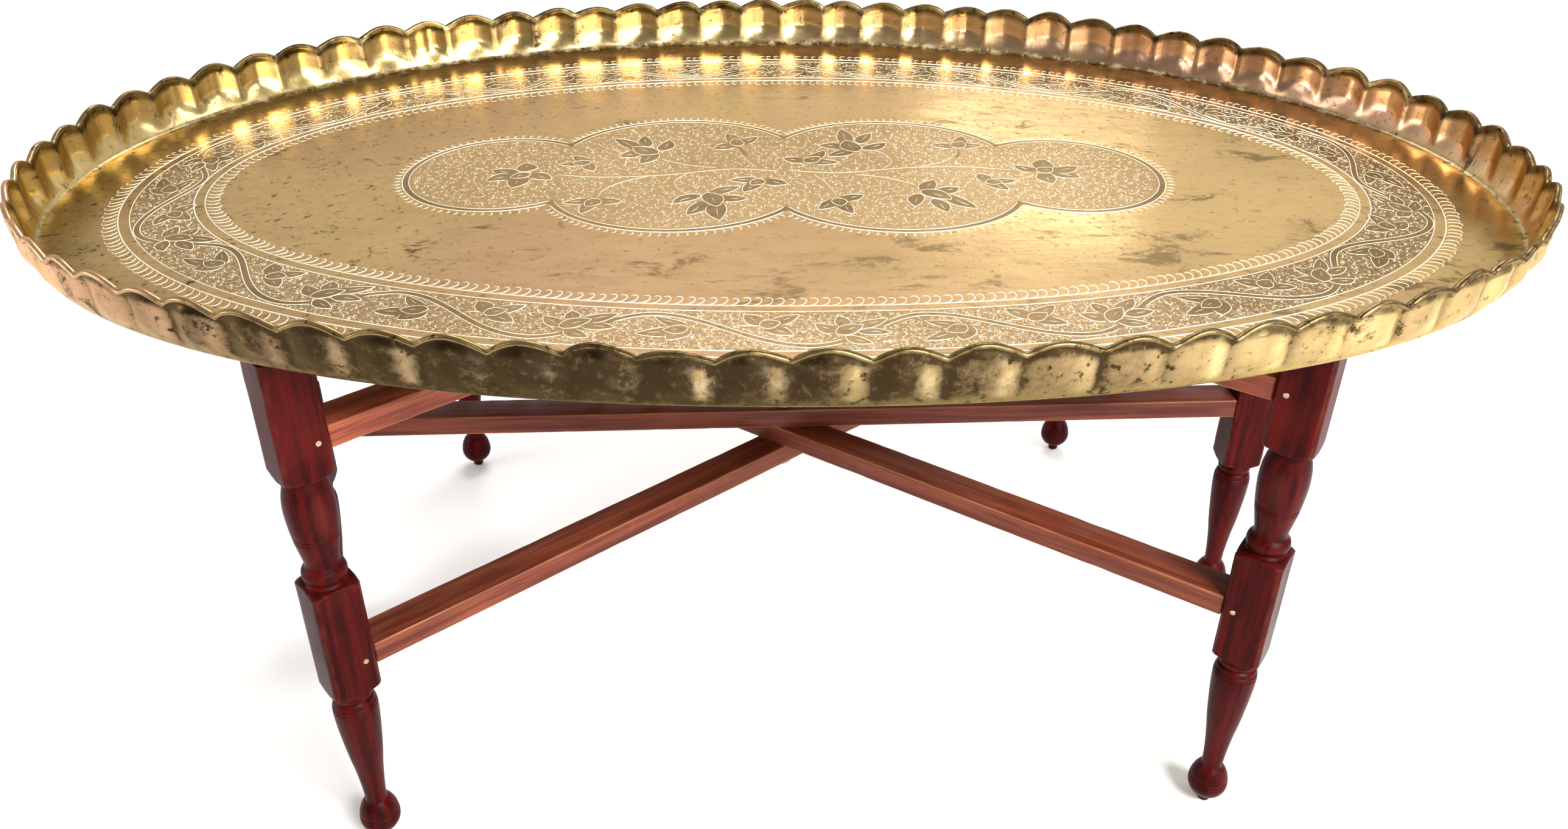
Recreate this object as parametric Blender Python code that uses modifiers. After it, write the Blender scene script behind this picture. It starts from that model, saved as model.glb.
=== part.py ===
"""Brass tray table: a scalloped oval brass tray resting on a folding six-legged wooden stand.

The stand is three upright frames that cross at one vertical pivot line. Each frame has two turned
legs, an upper rail and a lower stretcher. The rails and stretchers of the three frames lie flat on
top of each other where they cross, and a bolt through each stack lets the frames swivel shut.

Metres, +Z up, origin on the floor under the middle of the tray, +X along the tray's length.
"""
import math

import bmesh
import bpy
from mathutils import Matrix

# ---- tray -------------------------------------------------------------------------------------
TRAY_HALF_LENGTH = 0.600        # to the low points of the scalloped rim, along X
TRAY_HALF_WIDTH = 0.388         # the same along Y
OVAL_POWER = 2.1                # 2 is a plain ellipse, more is fuller at the corners
SCALLOPS = 72
COLUMNS_PER_SCALLOP = 4
TRAY_UNDERSIDE = 0.460
SHEET = 0.0012
# underside of the sheet from the floor's edge up to the lip:
# inset from the rim line, height over the underside, outward swell, upward swell of each scallop
TRAY_SECTION = (
    (0.0165, 0.0000, 0.0000, 0.0000),
    (0.0088, 0.0060, 0.0000, 0.0000),
    (0.0050, 0.0240, 0.0036, 0.0016),
    (0.0000, 0.0380, 0.0018, 0.0062),
)

# ---- stand ------------------------------------------------------------------------------------
FRAME_RADIUS = 0.4376           # pivot line to leg axis
STOCK = 0.036                   # square leg stock
STOCK_CHAMFER = 0.003
GAP = 0.0003                    # between pieces that touch
LEG_TOP = TRAY_UNDERSIDE - GAP
LATHE_STEPS = 16
LATHE_CLEAR = 0.028             # lathe radius that leaves the stock square

BOARD_WIDTH = 0.0305
BOARD_THICK = 0.0180
LOWER_TIER = 0.1832             # underside of the lowest stretcher
UPPER_TIER = 0.3750             # underside of the lowest upper rail
TENON_WIDTH = 0.018
TENON_THICK = 0.010
MORTISE_DEPTH = 0.024
BOARD_EDGE = 0.0012             # rounding of a board's long edges

PIN_RADIUS = 0.0020
PIN_LENGTH = 0.030
PIN_INSET = 0.009               # pin axis from the leg's inner face
PIN_SIDES = 10

BOLT_RADIUS = 0.0040
BOLT_HOLE_RADIUS = 0.0044
BOLT_HEAD_RADIUS = 0.0095
BOLT_HEAD_HEIGHT = 0.0045
BOLT_OVERHANG = 0.0030          # thread standing past the nut
WASHER_RADIUS = 0.0110
WASHER_HOLE_RADIUS = 0.0044
WASHER_THICK = 0.0016
NUT_ACROSS_CORNERS = 0.0150
NUT_HEIGHT = 0.0065
ROUND_SIDES = 16

# frame name, heading of its first leg in degrees, tier in the stack, first and second leg, and the
# side of the legs that the pins are driven from: along (1) or against (-1) the leg's own Y
FRAMES = (
    ("front_left", 221.0, 0, ("front_left", "rear_right"), -1),
    ("front_right", -35.7, 1, ("front_right", "rear_left"), 1),
    ("middle", 182.3, 2, ("middle_left", "middle_right"), -1),
)

# turned outline of a leg from the top down: radius, height
LOWER_BLOCK = (0.1645, 0.2630)
UPPER_BLOCK_FOOT = 0.3585
LEG_OUTLINE = (
    (LATHE_CLEAR, 0.4700),
    (LATHE_CLEAR, UPPER_BLOCK_FOOT + 0.0120),
    (0.0215, UPPER_BLOCK_FOOT + 0.0045),
    (0.0170, UPPER_BLOCK_FOOT),
    (0.0128, UPPER_BLOCK_FOOT - 0.0020),
    (0.0138, 0.3500),
    (0.0168, 0.3400),
    (0.0178, 0.3260),
    (0.0166, 0.3100),
    (0.0132, 0.2880),
    (0.0122, 0.2795),
    (0.0158, 0.2735),
    (0.0150, 0.2680),
    (0.0160, LOWER_BLOCK[1]),
    (0.0215, LOWER_BLOCK[1] - 0.0045),
    (LATHE_CLEAR, LOWER_BLOCK[1] - 0.0130),
    (LATHE_CLEAR, LOWER_BLOCK[0] + 0.0130),
    (0.0215, LOWER_BLOCK[0] + 0.0045),
    (0.0165, LOWER_BLOCK[0]),
    (0.0138, LOWER_BLOCK[0] - 0.0030),
    (0.0153, LOWER_BLOCK[0] - 0.0075),
    (0.0143, 0.1420),
    (0.0112, 0.0950),
    (0.0086, 0.0580),
    (0.0125, 0.0440),
    (0.0155, 0.0320),
    (0.0148, 0.0235),
    (0.0085, 0.0145),
    (0.0058, 0.0110),
    (0.0060, 0.0000),
)

BRASS = (0.60, 0.42, 0.17)
MAHOGANY = (0.10, 0.022, 0.016)
RAIL_WOOD = (0.23, 0.075, 0.040)
PIN_METAL = (0.55, 0.48, 0.36)
STEEL = (0.45, 0.44, 0.42)


# ---- small helpers ----------------------------------------------------------------------------
def clear_scene():
    for obj in list(bpy.data.objects):
        bpy.data.objects.remove(obj, do_unlink=True)


def new_collection(name):
    collection = bpy.data.collections.new(name)
    bpy.context.scene.collection.children.link(collection)
    return collection


def new_object(name, mesh, collection):
    obj = bpy.data.objects.new(name, mesh)
    collection.objects.link(obj)
    return obj


def finish(obj, colour, roughness, metallic):
    material = bpy.data.materials.new(obj.name + "_finish")
    material.use_nodes = True
    shader = material.node_tree.nodes["Principled BSDF"]
    shader.inputs["Base Color"].default_value = (*colour, 1.0)
    shader.inputs["Roughness"].default_value = roughness
    shader.inputs["Metallic"].default_value = metallic
    obj.data = obj.data.copy()
    obj.data.materials.clear()
    obj.data.materials.append(material)


def round_shading(mesh, angle_deg=35.0):
    mesh.shade_smooth()
    mesh.set_sharp_from_angle(angle=math.radians(angle_deg))


def box_mesh(name, x, y, z):
    """A box between the limits given as pairs."""
    bm = bmesh.new()
    bmesh.ops.create_cube(bm, size=1.0)
    size = (x[1] - x[0], y[1] - y[0], z[1] - z[0])
    centre = ((x[0] + x[1]) / 2, (y[0] + y[1]) / 2, (z[0] + z[1]) / 2)
    bmesh.ops.scale(bm, vec=size, verts=bm.verts)
    bmesh.ops.translate(bm, vec=centre, verts=bm.verts)
    mesh = bpy.data.meshes.new(name)
    bm.to_mesh(mesh)
    bm.free()
    return mesh


def cylinder_mesh(name, radius, z0, z1, sides, turn=None):
    """An upright cylinder between two heights, optionally turned by a matrix."""
    bm = bmesh.new()
    bmesh.ops.create_cone(
        bm, cap_ends=True, segments=sides, radius1=radius, radius2=radius, depth=z1 - z0
    )
    bmesh.ops.translate(bm, vec=(0, 0, (z0 + z1) / 2), verts=bm.verts)
    if turn is not None:
        bmesh.ops.transform(bm, matrix=turn, verts=bm.verts)
    mesh = bpy.data.meshes.new(name)
    bm.to_mesh(mesh)
    bm.free()
    return mesh


def lathe_object(name, outline, steps, collection):
    """Turn an outline of (radius, height) pairs, listed from the top down, round Z."""
    mesh = bpy.data.meshes.new(name)
    points = [(0.0, 0.0, outline[0][1])]
    points += [(radius, 0.0, height) for radius, height in outline]
    points += [(0.0, 0.0, outline[-1][1])]
    edges = [(i, i + 1) for i in range(len(points) - 1)]
    mesh.from_pydata(points, edges, [])
    obj = new_object(name, mesh, collection)
    screw = obj.modifiers.new("turn", "SCREW")
    screw.angle = 2 * math.pi
    screw.steps = steps
    screw.render_steps = steps
    screw.use_merge_vertices = True
    screw.merge_threshold = 0.00001
    return obj


def as_cutter(obj):
    obj.hide_render = True
    obj.display_type = "WIRE"
    return obj


def boolean(obj, cutter, operation):
    modifier = obj.modifiers.new(cutter.name, "BOOLEAN")
    modifier.operation = operation
    modifier.solver = "EXACT"
    modifier.object = cutter


def applied_mesh(obj, name):
    """The mesh that an object's modifiers leave, as new data."""
    bpy.context.view_layer.update()
    depsgraph = bpy.context.evaluated_depsgraph_get()
    mesh = bpy.data.meshes.new_from_object(obj.evaluated_get(depsgraph))
    mesh.name = name
    return mesh


# ---- tray -------------------------------------------------------------------------------------
def oval_point(angle):
    c, s = math.cos(angle), math.sin(angle)
    x = math.copysign(abs(c) ** (2 / OVAL_POWER), c) * TRAY_HALF_LENGTH
    y = math.copysign(abs(s) ** (2 / OVAL_POWER), s) * TRAY_HALF_WIDTH
    return x, y


def oval_stations(count, fine=7200):
    """Points and outward normals at equal steps along the oval, starting at the +X end."""
    trace = [oval_point(2 * math.pi * i / fine) for i in range(fine + 1)]
    lengths = [0.0]
    for (x0, y0), (x1, y1) in zip(trace, trace[1:]):
        lengths.append(lengths[-1] + math.hypot(x1 - x0, y1 - y0))
    stations = []
    index = 0
    for k in range(count):
        target = lengths[-1] * k / count
        while lengths[index + 1] <= target:
            index += 1
        share = (target - lengths[index]) / (lengths[index + 1] - lengths[index])
        (x0, y0), (x1, y1) = trace[index], trace[index + 1]
        run = math.hypot(x1 - x0, y1 - y0)
        point = (x0 + (x1 - x0) * share, y0 + (y1 - y0) * share)
        stations.append((point, ((y1 - y0) / run, -(x1 - x0) / run)))
    return stations


def scallop_swell(column):
    """0 at the notch between two scallops, 1 at the crown of one."""
    phase = (column % COLUMNS_PER_SCALLOP) / COLUMNS_PER_SCALLOP
    return math.sin(math.pi * phase)


def build_tray(collection):
    columns = SCALLOPS * COLUMNS_PER_SCALLOP
    stations = oval_stations(columns)
    bm = bmesh.new()
    ring = []
    previous = None
    for inset, height, swell_out, swell_up in TRAY_SECTION:
        ring = []
        for column, ((x, y), (nx, ny)) in enumerate(stations):
            swell = scallop_swell(column)
            offset = swell * swell_out - inset
            z = TRAY_UNDERSIDE + height + swell * swell_up
            ring.append(bm.verts.new((x + nx * offset, y + ny * offset, z)))
        edges = [bm.edges.new((ring[i], ring[(i + 1) % columns])) for i in range(columns)]
        if previous is None:
            bmesh.ops.contextual_create(bm, geom=edges)
        else:
            bmesh.ops.bridge_loops(bm, edges=edges + previous)
        previous = edges
    bmesh.ops.recalc_face_normals(bm, faces=bm.faces)
    floor = max(bm.faces, key=lambda face: len(face.verts))
    floor.normal_update()
    if floor.normal.z > 0:
        bmesh.ops.reverse_faces(bm, faces=bm.faces)
    mesh = bpy.data.meshes.new("brass_tray")
    bm.to_mesh(mesh)
    bm.free()
    round_shading(mesh)
    tray = new_object("brass_tray", mesh, collection)
    finish(tray, BRASS, 0.32, 1.0)
    solidify = tray.modifiers.new("sheet", "SOLIDIFY")
    solidify.thickness = SHEET
    solidify.offset = -1.0
    solidify.use_even_offset = True
    return tray


# ---- stand ------------------------------------------------------------------------------------
def tier_base(level, tier):
    return (LOWER_TIER, UPPER_TIER)[level] + tier * (BOARD_THICK + GAP)


def pin_turn(pin_side):
    """Lays an upright pin along the leg's Y, driven in from the chosen side."""
    return Matrix.Rotation(math.radians(-90.0 * pin_side), 4, "X")


def leg_mesh(name, tier, pin_side, cutters):
    """A leg standing on its own axis, with +X towards the pivot line."""
    half = STOCK / 2
    blank = new_object(
        name + "_blank", box_mesh(name, (-half, half), (-half, half), (-0.010, LEG_TOP)), cutters
    )
    bevel = blank.modifiers.new("chamfer", "BEVEL")
    bevel.width = STOCK_CHAMFER
    bevel.segments = 1
    bevel.limit_method = "WEIGHT"
    weight = blank.data.attributes.new("bevel_weight_edge", "FLOAT", "EDGE")
    for edge in blank.data.edges:
        low, high = (blank.data.vertices[i].co for i in edge.vertices)
        weight.data[edge.index].value = 1.0 if abs(low.z - high.z) > STOCK else 0.0
    turning = as_cutter(lathe_object(name + "_turning", LEG_OUTLINE, LATHE_STEPS, cutters))
    boolean(blank, turning, "INTERSECT")
    for level in (0, 1):
        middle = tier_base(level, tier) + BOARD_THICK / 2
        width = TENON_WIDTH / 2 + GAP
        thick = TENON_THICK / 2 + GAP
        mortise = box_mesh(
            name + "_mortise",
            (half - MORTISE_DEPTH, half + 0.005),
            (-width, width),
            (middle - thick, middle + thick),
        )
        boolean(blank, as_cutter(new_object(mortise.name, mortise, cutters)), "DIFFERENCE")
        hole = cylinder_mesh(
            name + "_pin_hole",
            PIN_RADIUS + GAP,
            half - PIN_LENGTH - GAP,
            half + 0.005,
            PIN_SIDES,
            Matrix.Translation((half - PIN_INSET, 0, middle)) @ pin_turn(pin_side),
        )
        boolean(blank, as_cutter(new_object(hole.name, hole, cutters)), "DIFFERENCE")
    mesh = applied_mesh(blank, name)
    as_cutter(blank)
    round_shading(mesh)
    return mesh


def board_mesh(name, level, tier, cutters):
    """A rail or stretcher along X, with a tenon on each end and a bolt hole in the middle."""
    base = tier_base(level, tier)
    middle = base + BOARD_THICK / 2
    shoulder = FRAME_RADIUS - STOCK / 2 - GAP
    tip = shoulder + MORTISE_DEPTH
    half_width = BOARD_WIDTH / 2
    blank = new_object(
        name + "_blank",
        box_mesh(name, (-shoulder, shoulder), (-half_width, half_width), (base, base + BOARD_THICK)),
        cutters,
    )
    bevel = blank.modifiers.new("edges", "BEVEL")
    bevel.width = BOARD_EDGE
    bevel.segments = 1
    bevel.limit_method = "WEIGHT"
    weight = blank.data.attributes.new("bevel_weight_edge", "FLOAT", "EDGE")
    for edge in blank.data.edges:
        low, high = (blank.data.vertices[i].co for i in edge.vertices)
        weight.data[edge.index].value = 1.0 if abs(low.x - high.x) > shoulder else 0.0
    tenons = box_mesh(
        name + "_tenons",
        (-tip, tip),
        (-TENON_WIDTH / 2, TENON_WIDTH / 2),
        (middle - TENON_THICK / 2, middle + TENON_THICK / 2),
    )
    boolean(blank, as_cutter(new_object(tenons.name, tenons, cutters)), "UNION")
    hole = cylinder_mesh(
        name + "_bolt_hole", BOLT_HOLE_RADIUS, base - 0.005, base + BOARD_THICK + 0.005, ROUND_SIDES
    )
    boolean(blank, as_cutter(new_object(hole.name, hole, cutters)), "DIFFERENCE")
    pin_x = FRAME_RADIUS - STOCK / 2 + PIN_INSET
    for side in (-1, 1):
        pin_hole = cylinder_mesh(
            name + "_pin_hole",
            PIN_RADIUS + GAP,
            -0.020,
            0.020,
            PIN_SIDES,
            Matrix.Translation((side * pin_x, 0, middle)) @ pin_turn(1),
        )
        boolean(blank, as_cutter(new_object(pin_hole.name, pin_hole, cutters)), "DIFFERENCE")
    mesh = applied_mesh(blank, name)
    as_cutter(blank)
    return mesh


def build_frame(frame, collection, cutters):
    """Two legs, an upper rail, a lower stretcher and four pins under one empty on the pivot line."""
    name, heading, tier, legs, pin_side = frame
    pivot = new_object("pivot_of_" + name, None, collection)
    pivot.rotation_euler.z = math.radians(heading)
    shape = leg_mesh("leg_" + name, tier, pin_side, cutters)
    for index, leg_name in enumerate(legs):
        side = 1 - 2 * index
        leg = new_object("leg_" + leg_name, shape, collection)
        leg.parent = pivot
        leg.location.x = side * FRAME_RADIUS
        leg.rotation_euler.z = math.pi * (1 - index)
        finish(leg, MAHOGANY, 0.22, 0.0)
        for level, level_name in enumerate(("lower", "upper")):
            middle = tier_base(level, tier) + BOARD_THICK / 2
            mesh = cylinder_mesh(
                "pin", PIN_RADIUS, STOCK / 2 - PIN_LENGTH, STOCK / 2, PIN_SIDES, pin_turn(pin_side)
            )
            round_shading(mesh)
            pin = new_object("pin_" + level_name + "_" + leg_name, mesh, collection)
            pin.parent = leg
            pin.location = (STOCK / 2 - PIN_INSET, 0, middle)
            finish(pin, PIN_METAL, 0.45, 1.0)
    for level, board_name in enumerate(("lower_stretcher_", "upper_rail_")):
        board = new_object(
            board_name + name, board_mesh(board_name + name, level, tier, cutters), collection
        )
        board.parent = pivot
        finish(board, RAIL_WOOD, 0.38, 0.0)


def washer_mesh(name, z0, cutters):
    blank = new_object(
        name + "_blank",
        cylinder_mesh(name, WASHER_RADIUS, z0, z0 + WASHER_THICK, ROUND_SIDES),
        cutters,
    )
    hole = cylinder_mesh(
        name + "_hole", WASHER_HOLE_RADIUS, z0 - 0.005, z0 + 0.005 + WASHER_THICK, ROUND_SIDES
    )
    boolean(blank, as_cutter(new_object(hole.name, hole, cutters)), "DIFFERENCE")
    mesh = applied_mesh(blank, name)
    as_cutter(blank)
    return mesh


def nut_mesh(name, z0, cutters):
    blank = new_object(
        name + "_blank",
        cylinder_mesh(name, NUT_ACROSS_CORNERS / 2, z0, z0 + NUT_HEIGHT, 6),
        cutters,
    )
    hole = cylinder_mesh(
        name + "_hole", BOLT_HOLE_RADIUS, z0 - 0.005, z0 + 0.005 + NUT_HEIGHT, ROUND_SIDES
    )
    boolean(blank, as_cutter(new_object(hole.name, hole, cutters)), "DIFFERENCE")
    mesh = applied_mesh(blank, name)
    as_cutter(blank)
    return mesh


def build_pivot(level, level_name, collection, cutters):
    """Round-headed bolt down through a stack of three boards, two washers and a nut below."""
    stack_foot = tier_base(level, 0)
    stack_top = tier_base(level, 2) + BOARD_THICK
    top_washer = stack_top + GAP
    low_washer = stack_foot - GAP - WASHER_THICK
    nut_foot = low_washer - GAP - NUT_HEIGHT
    under_head = top_washer + WASHER_THICK + GAP
    outline = (
        (BOLT_HEAD_RADIUS * 0.55, under_head + BOLT_HEAD_HEIGHT),
        (BOLT_HEAD_RADIUS * 0.88, under_head + BOLT_HEAD_HEIGHT * 0.68),
        (BOLT_HEAD_RADIUS, under_head + BOLT_HEAD_HEIGHT * 0.25),
        (BOLT_HEAD_RADIUS, under_head),
        (BOLT_RADIUS, under_head),
        (BOLT_RADIUS, nut_foot - BOLT_OVERHANG + 0.0008),
        (BOLT_RADIUS - 0.0008, nut_foot - BOLT_OVERHANG),
    )
    prefix = level_name + "_pivot_"
    lathe = lathe_object(prefix + "bolt_turning", outline, ROUND_SIDES, cutters)
    shapes = {
        "bolt": applied_mesh(as_cutter(lathe), prefix + "bolt"),
        "head_washer": washer_mesh(prefix + "head_washer", top_washer, cutters),
        "nut_washer": washer_mesh(prefix + "nut_washer", low_washer, cutters),
        "nut": nut_mesh(prefix + "nut", nut_foot, cutters),
    }
    for piece_name, mesh in shapes.items():
        round_shading(mesh)
        piece = new_object(prefix + piece_name, mesh, collection)
        finish(piece, STEEL, 0.40, 1.0)


def main():
    clear_scene()
    table = new_collection("brass_tray_table")
    cutters = new_collection("cutters")
    build_tray(table)
    for frame in FRAMES:
        build_frame(frame, table, cutters)
    for level, level_name in enumerate(("lower", "upper")):
        build_pivot(level, level_name, table, cutters)


main()
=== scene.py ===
"""Looks of the brass tray table: a beaten, scalloped and chased brass tray on a folding turned stand.

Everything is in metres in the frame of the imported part: origin on the floor under the middle of
the tray, +X along the tray's length, +Z up.
"""
import math

import bpy
import numpy as np
from mathutils import Matrix, Vector


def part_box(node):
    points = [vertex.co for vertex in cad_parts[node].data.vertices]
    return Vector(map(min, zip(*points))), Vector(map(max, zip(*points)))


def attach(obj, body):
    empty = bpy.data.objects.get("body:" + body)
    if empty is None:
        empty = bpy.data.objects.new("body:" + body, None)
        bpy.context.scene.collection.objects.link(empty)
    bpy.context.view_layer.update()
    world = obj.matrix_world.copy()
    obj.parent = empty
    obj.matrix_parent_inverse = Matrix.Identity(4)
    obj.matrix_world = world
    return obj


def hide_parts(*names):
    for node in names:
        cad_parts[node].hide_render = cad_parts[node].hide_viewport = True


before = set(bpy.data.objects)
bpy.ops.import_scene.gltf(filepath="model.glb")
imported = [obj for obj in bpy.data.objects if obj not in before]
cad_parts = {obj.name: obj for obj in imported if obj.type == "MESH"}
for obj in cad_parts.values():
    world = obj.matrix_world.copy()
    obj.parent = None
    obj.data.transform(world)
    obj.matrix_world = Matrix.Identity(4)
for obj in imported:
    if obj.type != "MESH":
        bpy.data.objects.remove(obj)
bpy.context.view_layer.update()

# ---- tray, as the part has it -----------------------------------------------------------------
RIM_HALF_LENGTH = 0.5985
RIM_HALF_WIDTH = 0.3855
OVAL_POWER = 2.1
SCALLOPS = 72
COLUMNS_PER_SCALLOP = 12
SHEET = 0.0012
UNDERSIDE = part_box("brass_tray")[0].z
FLOOR_TOP = UNDERSIDE + SHEET
FLOOR_EDGE_INSET = 0.0140
CROWN = 0.0403                  # the long tray sags toward its two ends, by this times x squared

# section of the outside of the wall, from the floor's edge to under the lip: inset, height
WALL_SECTION = (
    (0.0140, 0.0000),
    (0.0108, 0.0007),
    (0.0083, 0.0028),
    (0.0068, 0.0064),
    (0.0059, 0.0112),
    (0.0052, 0.0166),
    (0.0047, 0.0222),
    (0.0041, 0.0278),
    (0.0034, 0.0322),
    (0.0024, 0.0348),
)
LIP_CENTRE = (0.0010, 0.0364)   # inset and height of the middle of the rolled lip
LIP_RADII = (0.0024, 0.0019)
WALL_FLUTE = 0.0058             # outward swell of each scallop in the wall
LIP_SWELL = 0.0008              # outward swell of each scallop in the lip
LIP_ARCH = 0.0070               # rise of the lip between two notches

# ---- chasing on the tray floor ----------------------------------------------------------------
LINE_SINK = 0.00015
LINE_RISE = 0.00036
GROUND_RISE = 0.00010
BAND_RISE = 0.00013
PETAL_RISE = 0.00022
FINE_LINE = 0.0009
STRONG_LINE = 0.0012
OUTER_RING = ((0.5330, 0.3175), (0.5245, 0.3090))
INNER_RING = ((0.4780, 0.2550), (0.4695, 0.2465))
BAND_MIDDLE = (0.5013, 0.2820)
BAND_HALF = 0.0270
RING_POWER = 2.05                # between an ellipse, 2, and a rounder-cornered oval
WAVES = 14
TROUGH = 0.57                   # where in a wave the vine runs nearest the rim
VINE_SWING = 0.0205
VINE_WIDTH = 0.0046
MEDALLION_LOBES = (             # centre and radii of each rounded lobe
    (0.232, 0.000, 0.082, 0.082),
    (-0.232, 0.000, 0.082, 0.082),
    (0.088, 0.035, 0.105, 0.090),
    (-0.088, 0.035, 0.105, 0.090),
    (0.088, -0.035, 0.105, 0.090),
    (-0.088, -0.035, 0.105, 0.090),
)

# ---- stand ------------------------------------------------------------------------------------
STOCK_HALF = 0.018
STOCK_CHAMFER = 0.0030
BOARD_WIDTH = 0.0305
TENON = (0.018, 0.010, 0.0237)  # width, thickness, length
LEG_TOP_GAP = 0.0090            # keeps the swinging legs clear of the sagging tray
PIN_INSET = 0.009
PIN_RADIUS = 0.0020
PIN_LENGTH = 0.030
PIN_PROUD = 0.0004

rng = np.random.default_rng(72)


# ---- materials --------------------------------------------------------------------------------
class Finish:
    """A material whose shader is fed by procedural nodes in the piece's own coordinates."""

    def __init__(self, name, metallic=0.0, edge_tint=None):
        self.material = bpy.data.materials.new(name)
        self.material.use_nodes = True
        self.tree = self.material.node_tree
        self.shader = self.tree.nodes["Principled BSDF"]
        self.shader.inputs["Metallic"].default_value = metallic
        if edge_tint is not None:
            self.shader.inputs["Specular Tint"].default_value = edge_tint
        self.place = self.tree.nodes.new("ShaderNodeTexCoord").outputs["Object"]

    def feed(self, socket, value):
        if isinstance(value, bpy.types.NodeSocket):
            self.tree.links.new(value, socket)
        else:
            socket.default_value = value

    def noise(self, scale, detail=3.0, rough=0.5, stretch=None, warp=0.0):
        node = self.tree.nodes.new("ShaderNodeTexNoise")
        place = self.place
        if stretch is not None:
            mapping = self.tree.nodes.new("ShaderNodeMapping")
            mapping.inputs["Scale"].default_value = stretch
            self.feed(mapping.inputs["Vector"], self.place)
            place = mapping.outputs["Vector"]
        self.feed(node.inputs["Vector"], place)
        node.inputs["Scale"].default_value = scale
        node.inputs["Detail"].default_value = detail
        node.inputs["Roughness"].default_value = rough
        node.inputs["Distortion"].default_value = warp
        return node.outputs[0]

    def attribute(self, name):
        node = self.tree.nodes.new("ShaderNodeAttribute")
        node.attribute_name = name
        return node.outputs["Fac"]

    def span(self, value, low, high, to_low=0.0, to_high=1.0):
        """Smoothly carries value from low..high to to_low..to_high."""
        node = self.tree.nodes.new("ShaderNodeMapRange")
        node.interpolation_type = "SMOOTHSTEP"
        self.feed(node.inputs["Value"], value)
        node.inputs["From Min"].default_value = low
        node.inputs["From Max"].default_value = high
        node.inputs["To Min"].default_value = to_low
        node.inputs["To Max"].default_value = to_high
        return node.outputs["Result"]

    def calc(self, operation, a, b):
        node = self.tree.nodes.new("ShaderNodeMath")
        node.operation = operation
        self.feed(node.inputs[0], a)
        self.feed(node.inputs[1], b)
        return node.outputs[0]

    def mix(self, factor, a, b):
        node = self.tree.nodes.new("ShaderNodeMix")
        node.data_type = "RGBA"
        self.feed(node.inputs[0], factor)
        self.feed(node.inputs[6], a if isinstance(a, bpy.types.NodeSocket) else (*a, 1.0))
        self.feed(node.inputs[7], b if isinstance(b, bpy.types.NodeSocket) else (*b, 1.0))
        return node.outputs[2]

    def veil(self, colour, value, low, high, most, tint):
        """Lays a tint over a colour where value rises from low to high, at most so strongly."""
        return self.mix(self.calc("MULTIPLY", self.span(value, low, high), most), colour, tint)

    def bump(self, height, distance, strength, normal=None):
        node = self.tree.nodes.new("ShaderNodeBump")
        node.inputs["Distance"].default_value = distance
        node.inputs["Strength"].default_value = strength
        self.feed(node.inputs["Height"], height)
        if normal is not None:
            self.feed(node.inputs["Normal"], normal)
        return node.outputs["Normal"]

    def finish(self, colour, roughness, normal):
        self.feed(self.shader.inputs["Base Color"], colour)
        self.feed(self.shader.inputs["Roughness"], roughness)
        self.feed(self.shader.inputs["Normal"], normal)
        return self.material


GOLD = (0.740, 0.510, 0.255)
TAN = (0.600, 0.385, 0.210)
ROSE = (0.580, 0.360, 0.215)
YELLOW = (0.700, 0.540, 0.220)
GREEN_GOLD = (0.420, 0.330, 0.095)
COPPER = (0.800, 0.450, 0.300)
BROWN = (0.300, 0.190, 0.100)
# dark patina colour, also used to paint shade into the brass
TARNISH_AND_SHADE = (0.028, 0.017, 0.0075)
# pale polish crust colour, also used as painted highlight on the outside wall's facets
RESIDUE_AND_HIGHLIGHT = (0.640, 0.560, 0.370)
EDGE_TINT = (0.95, 0.84, 0.64, 1.0)    # what brass reflects at a glancing angle


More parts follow.
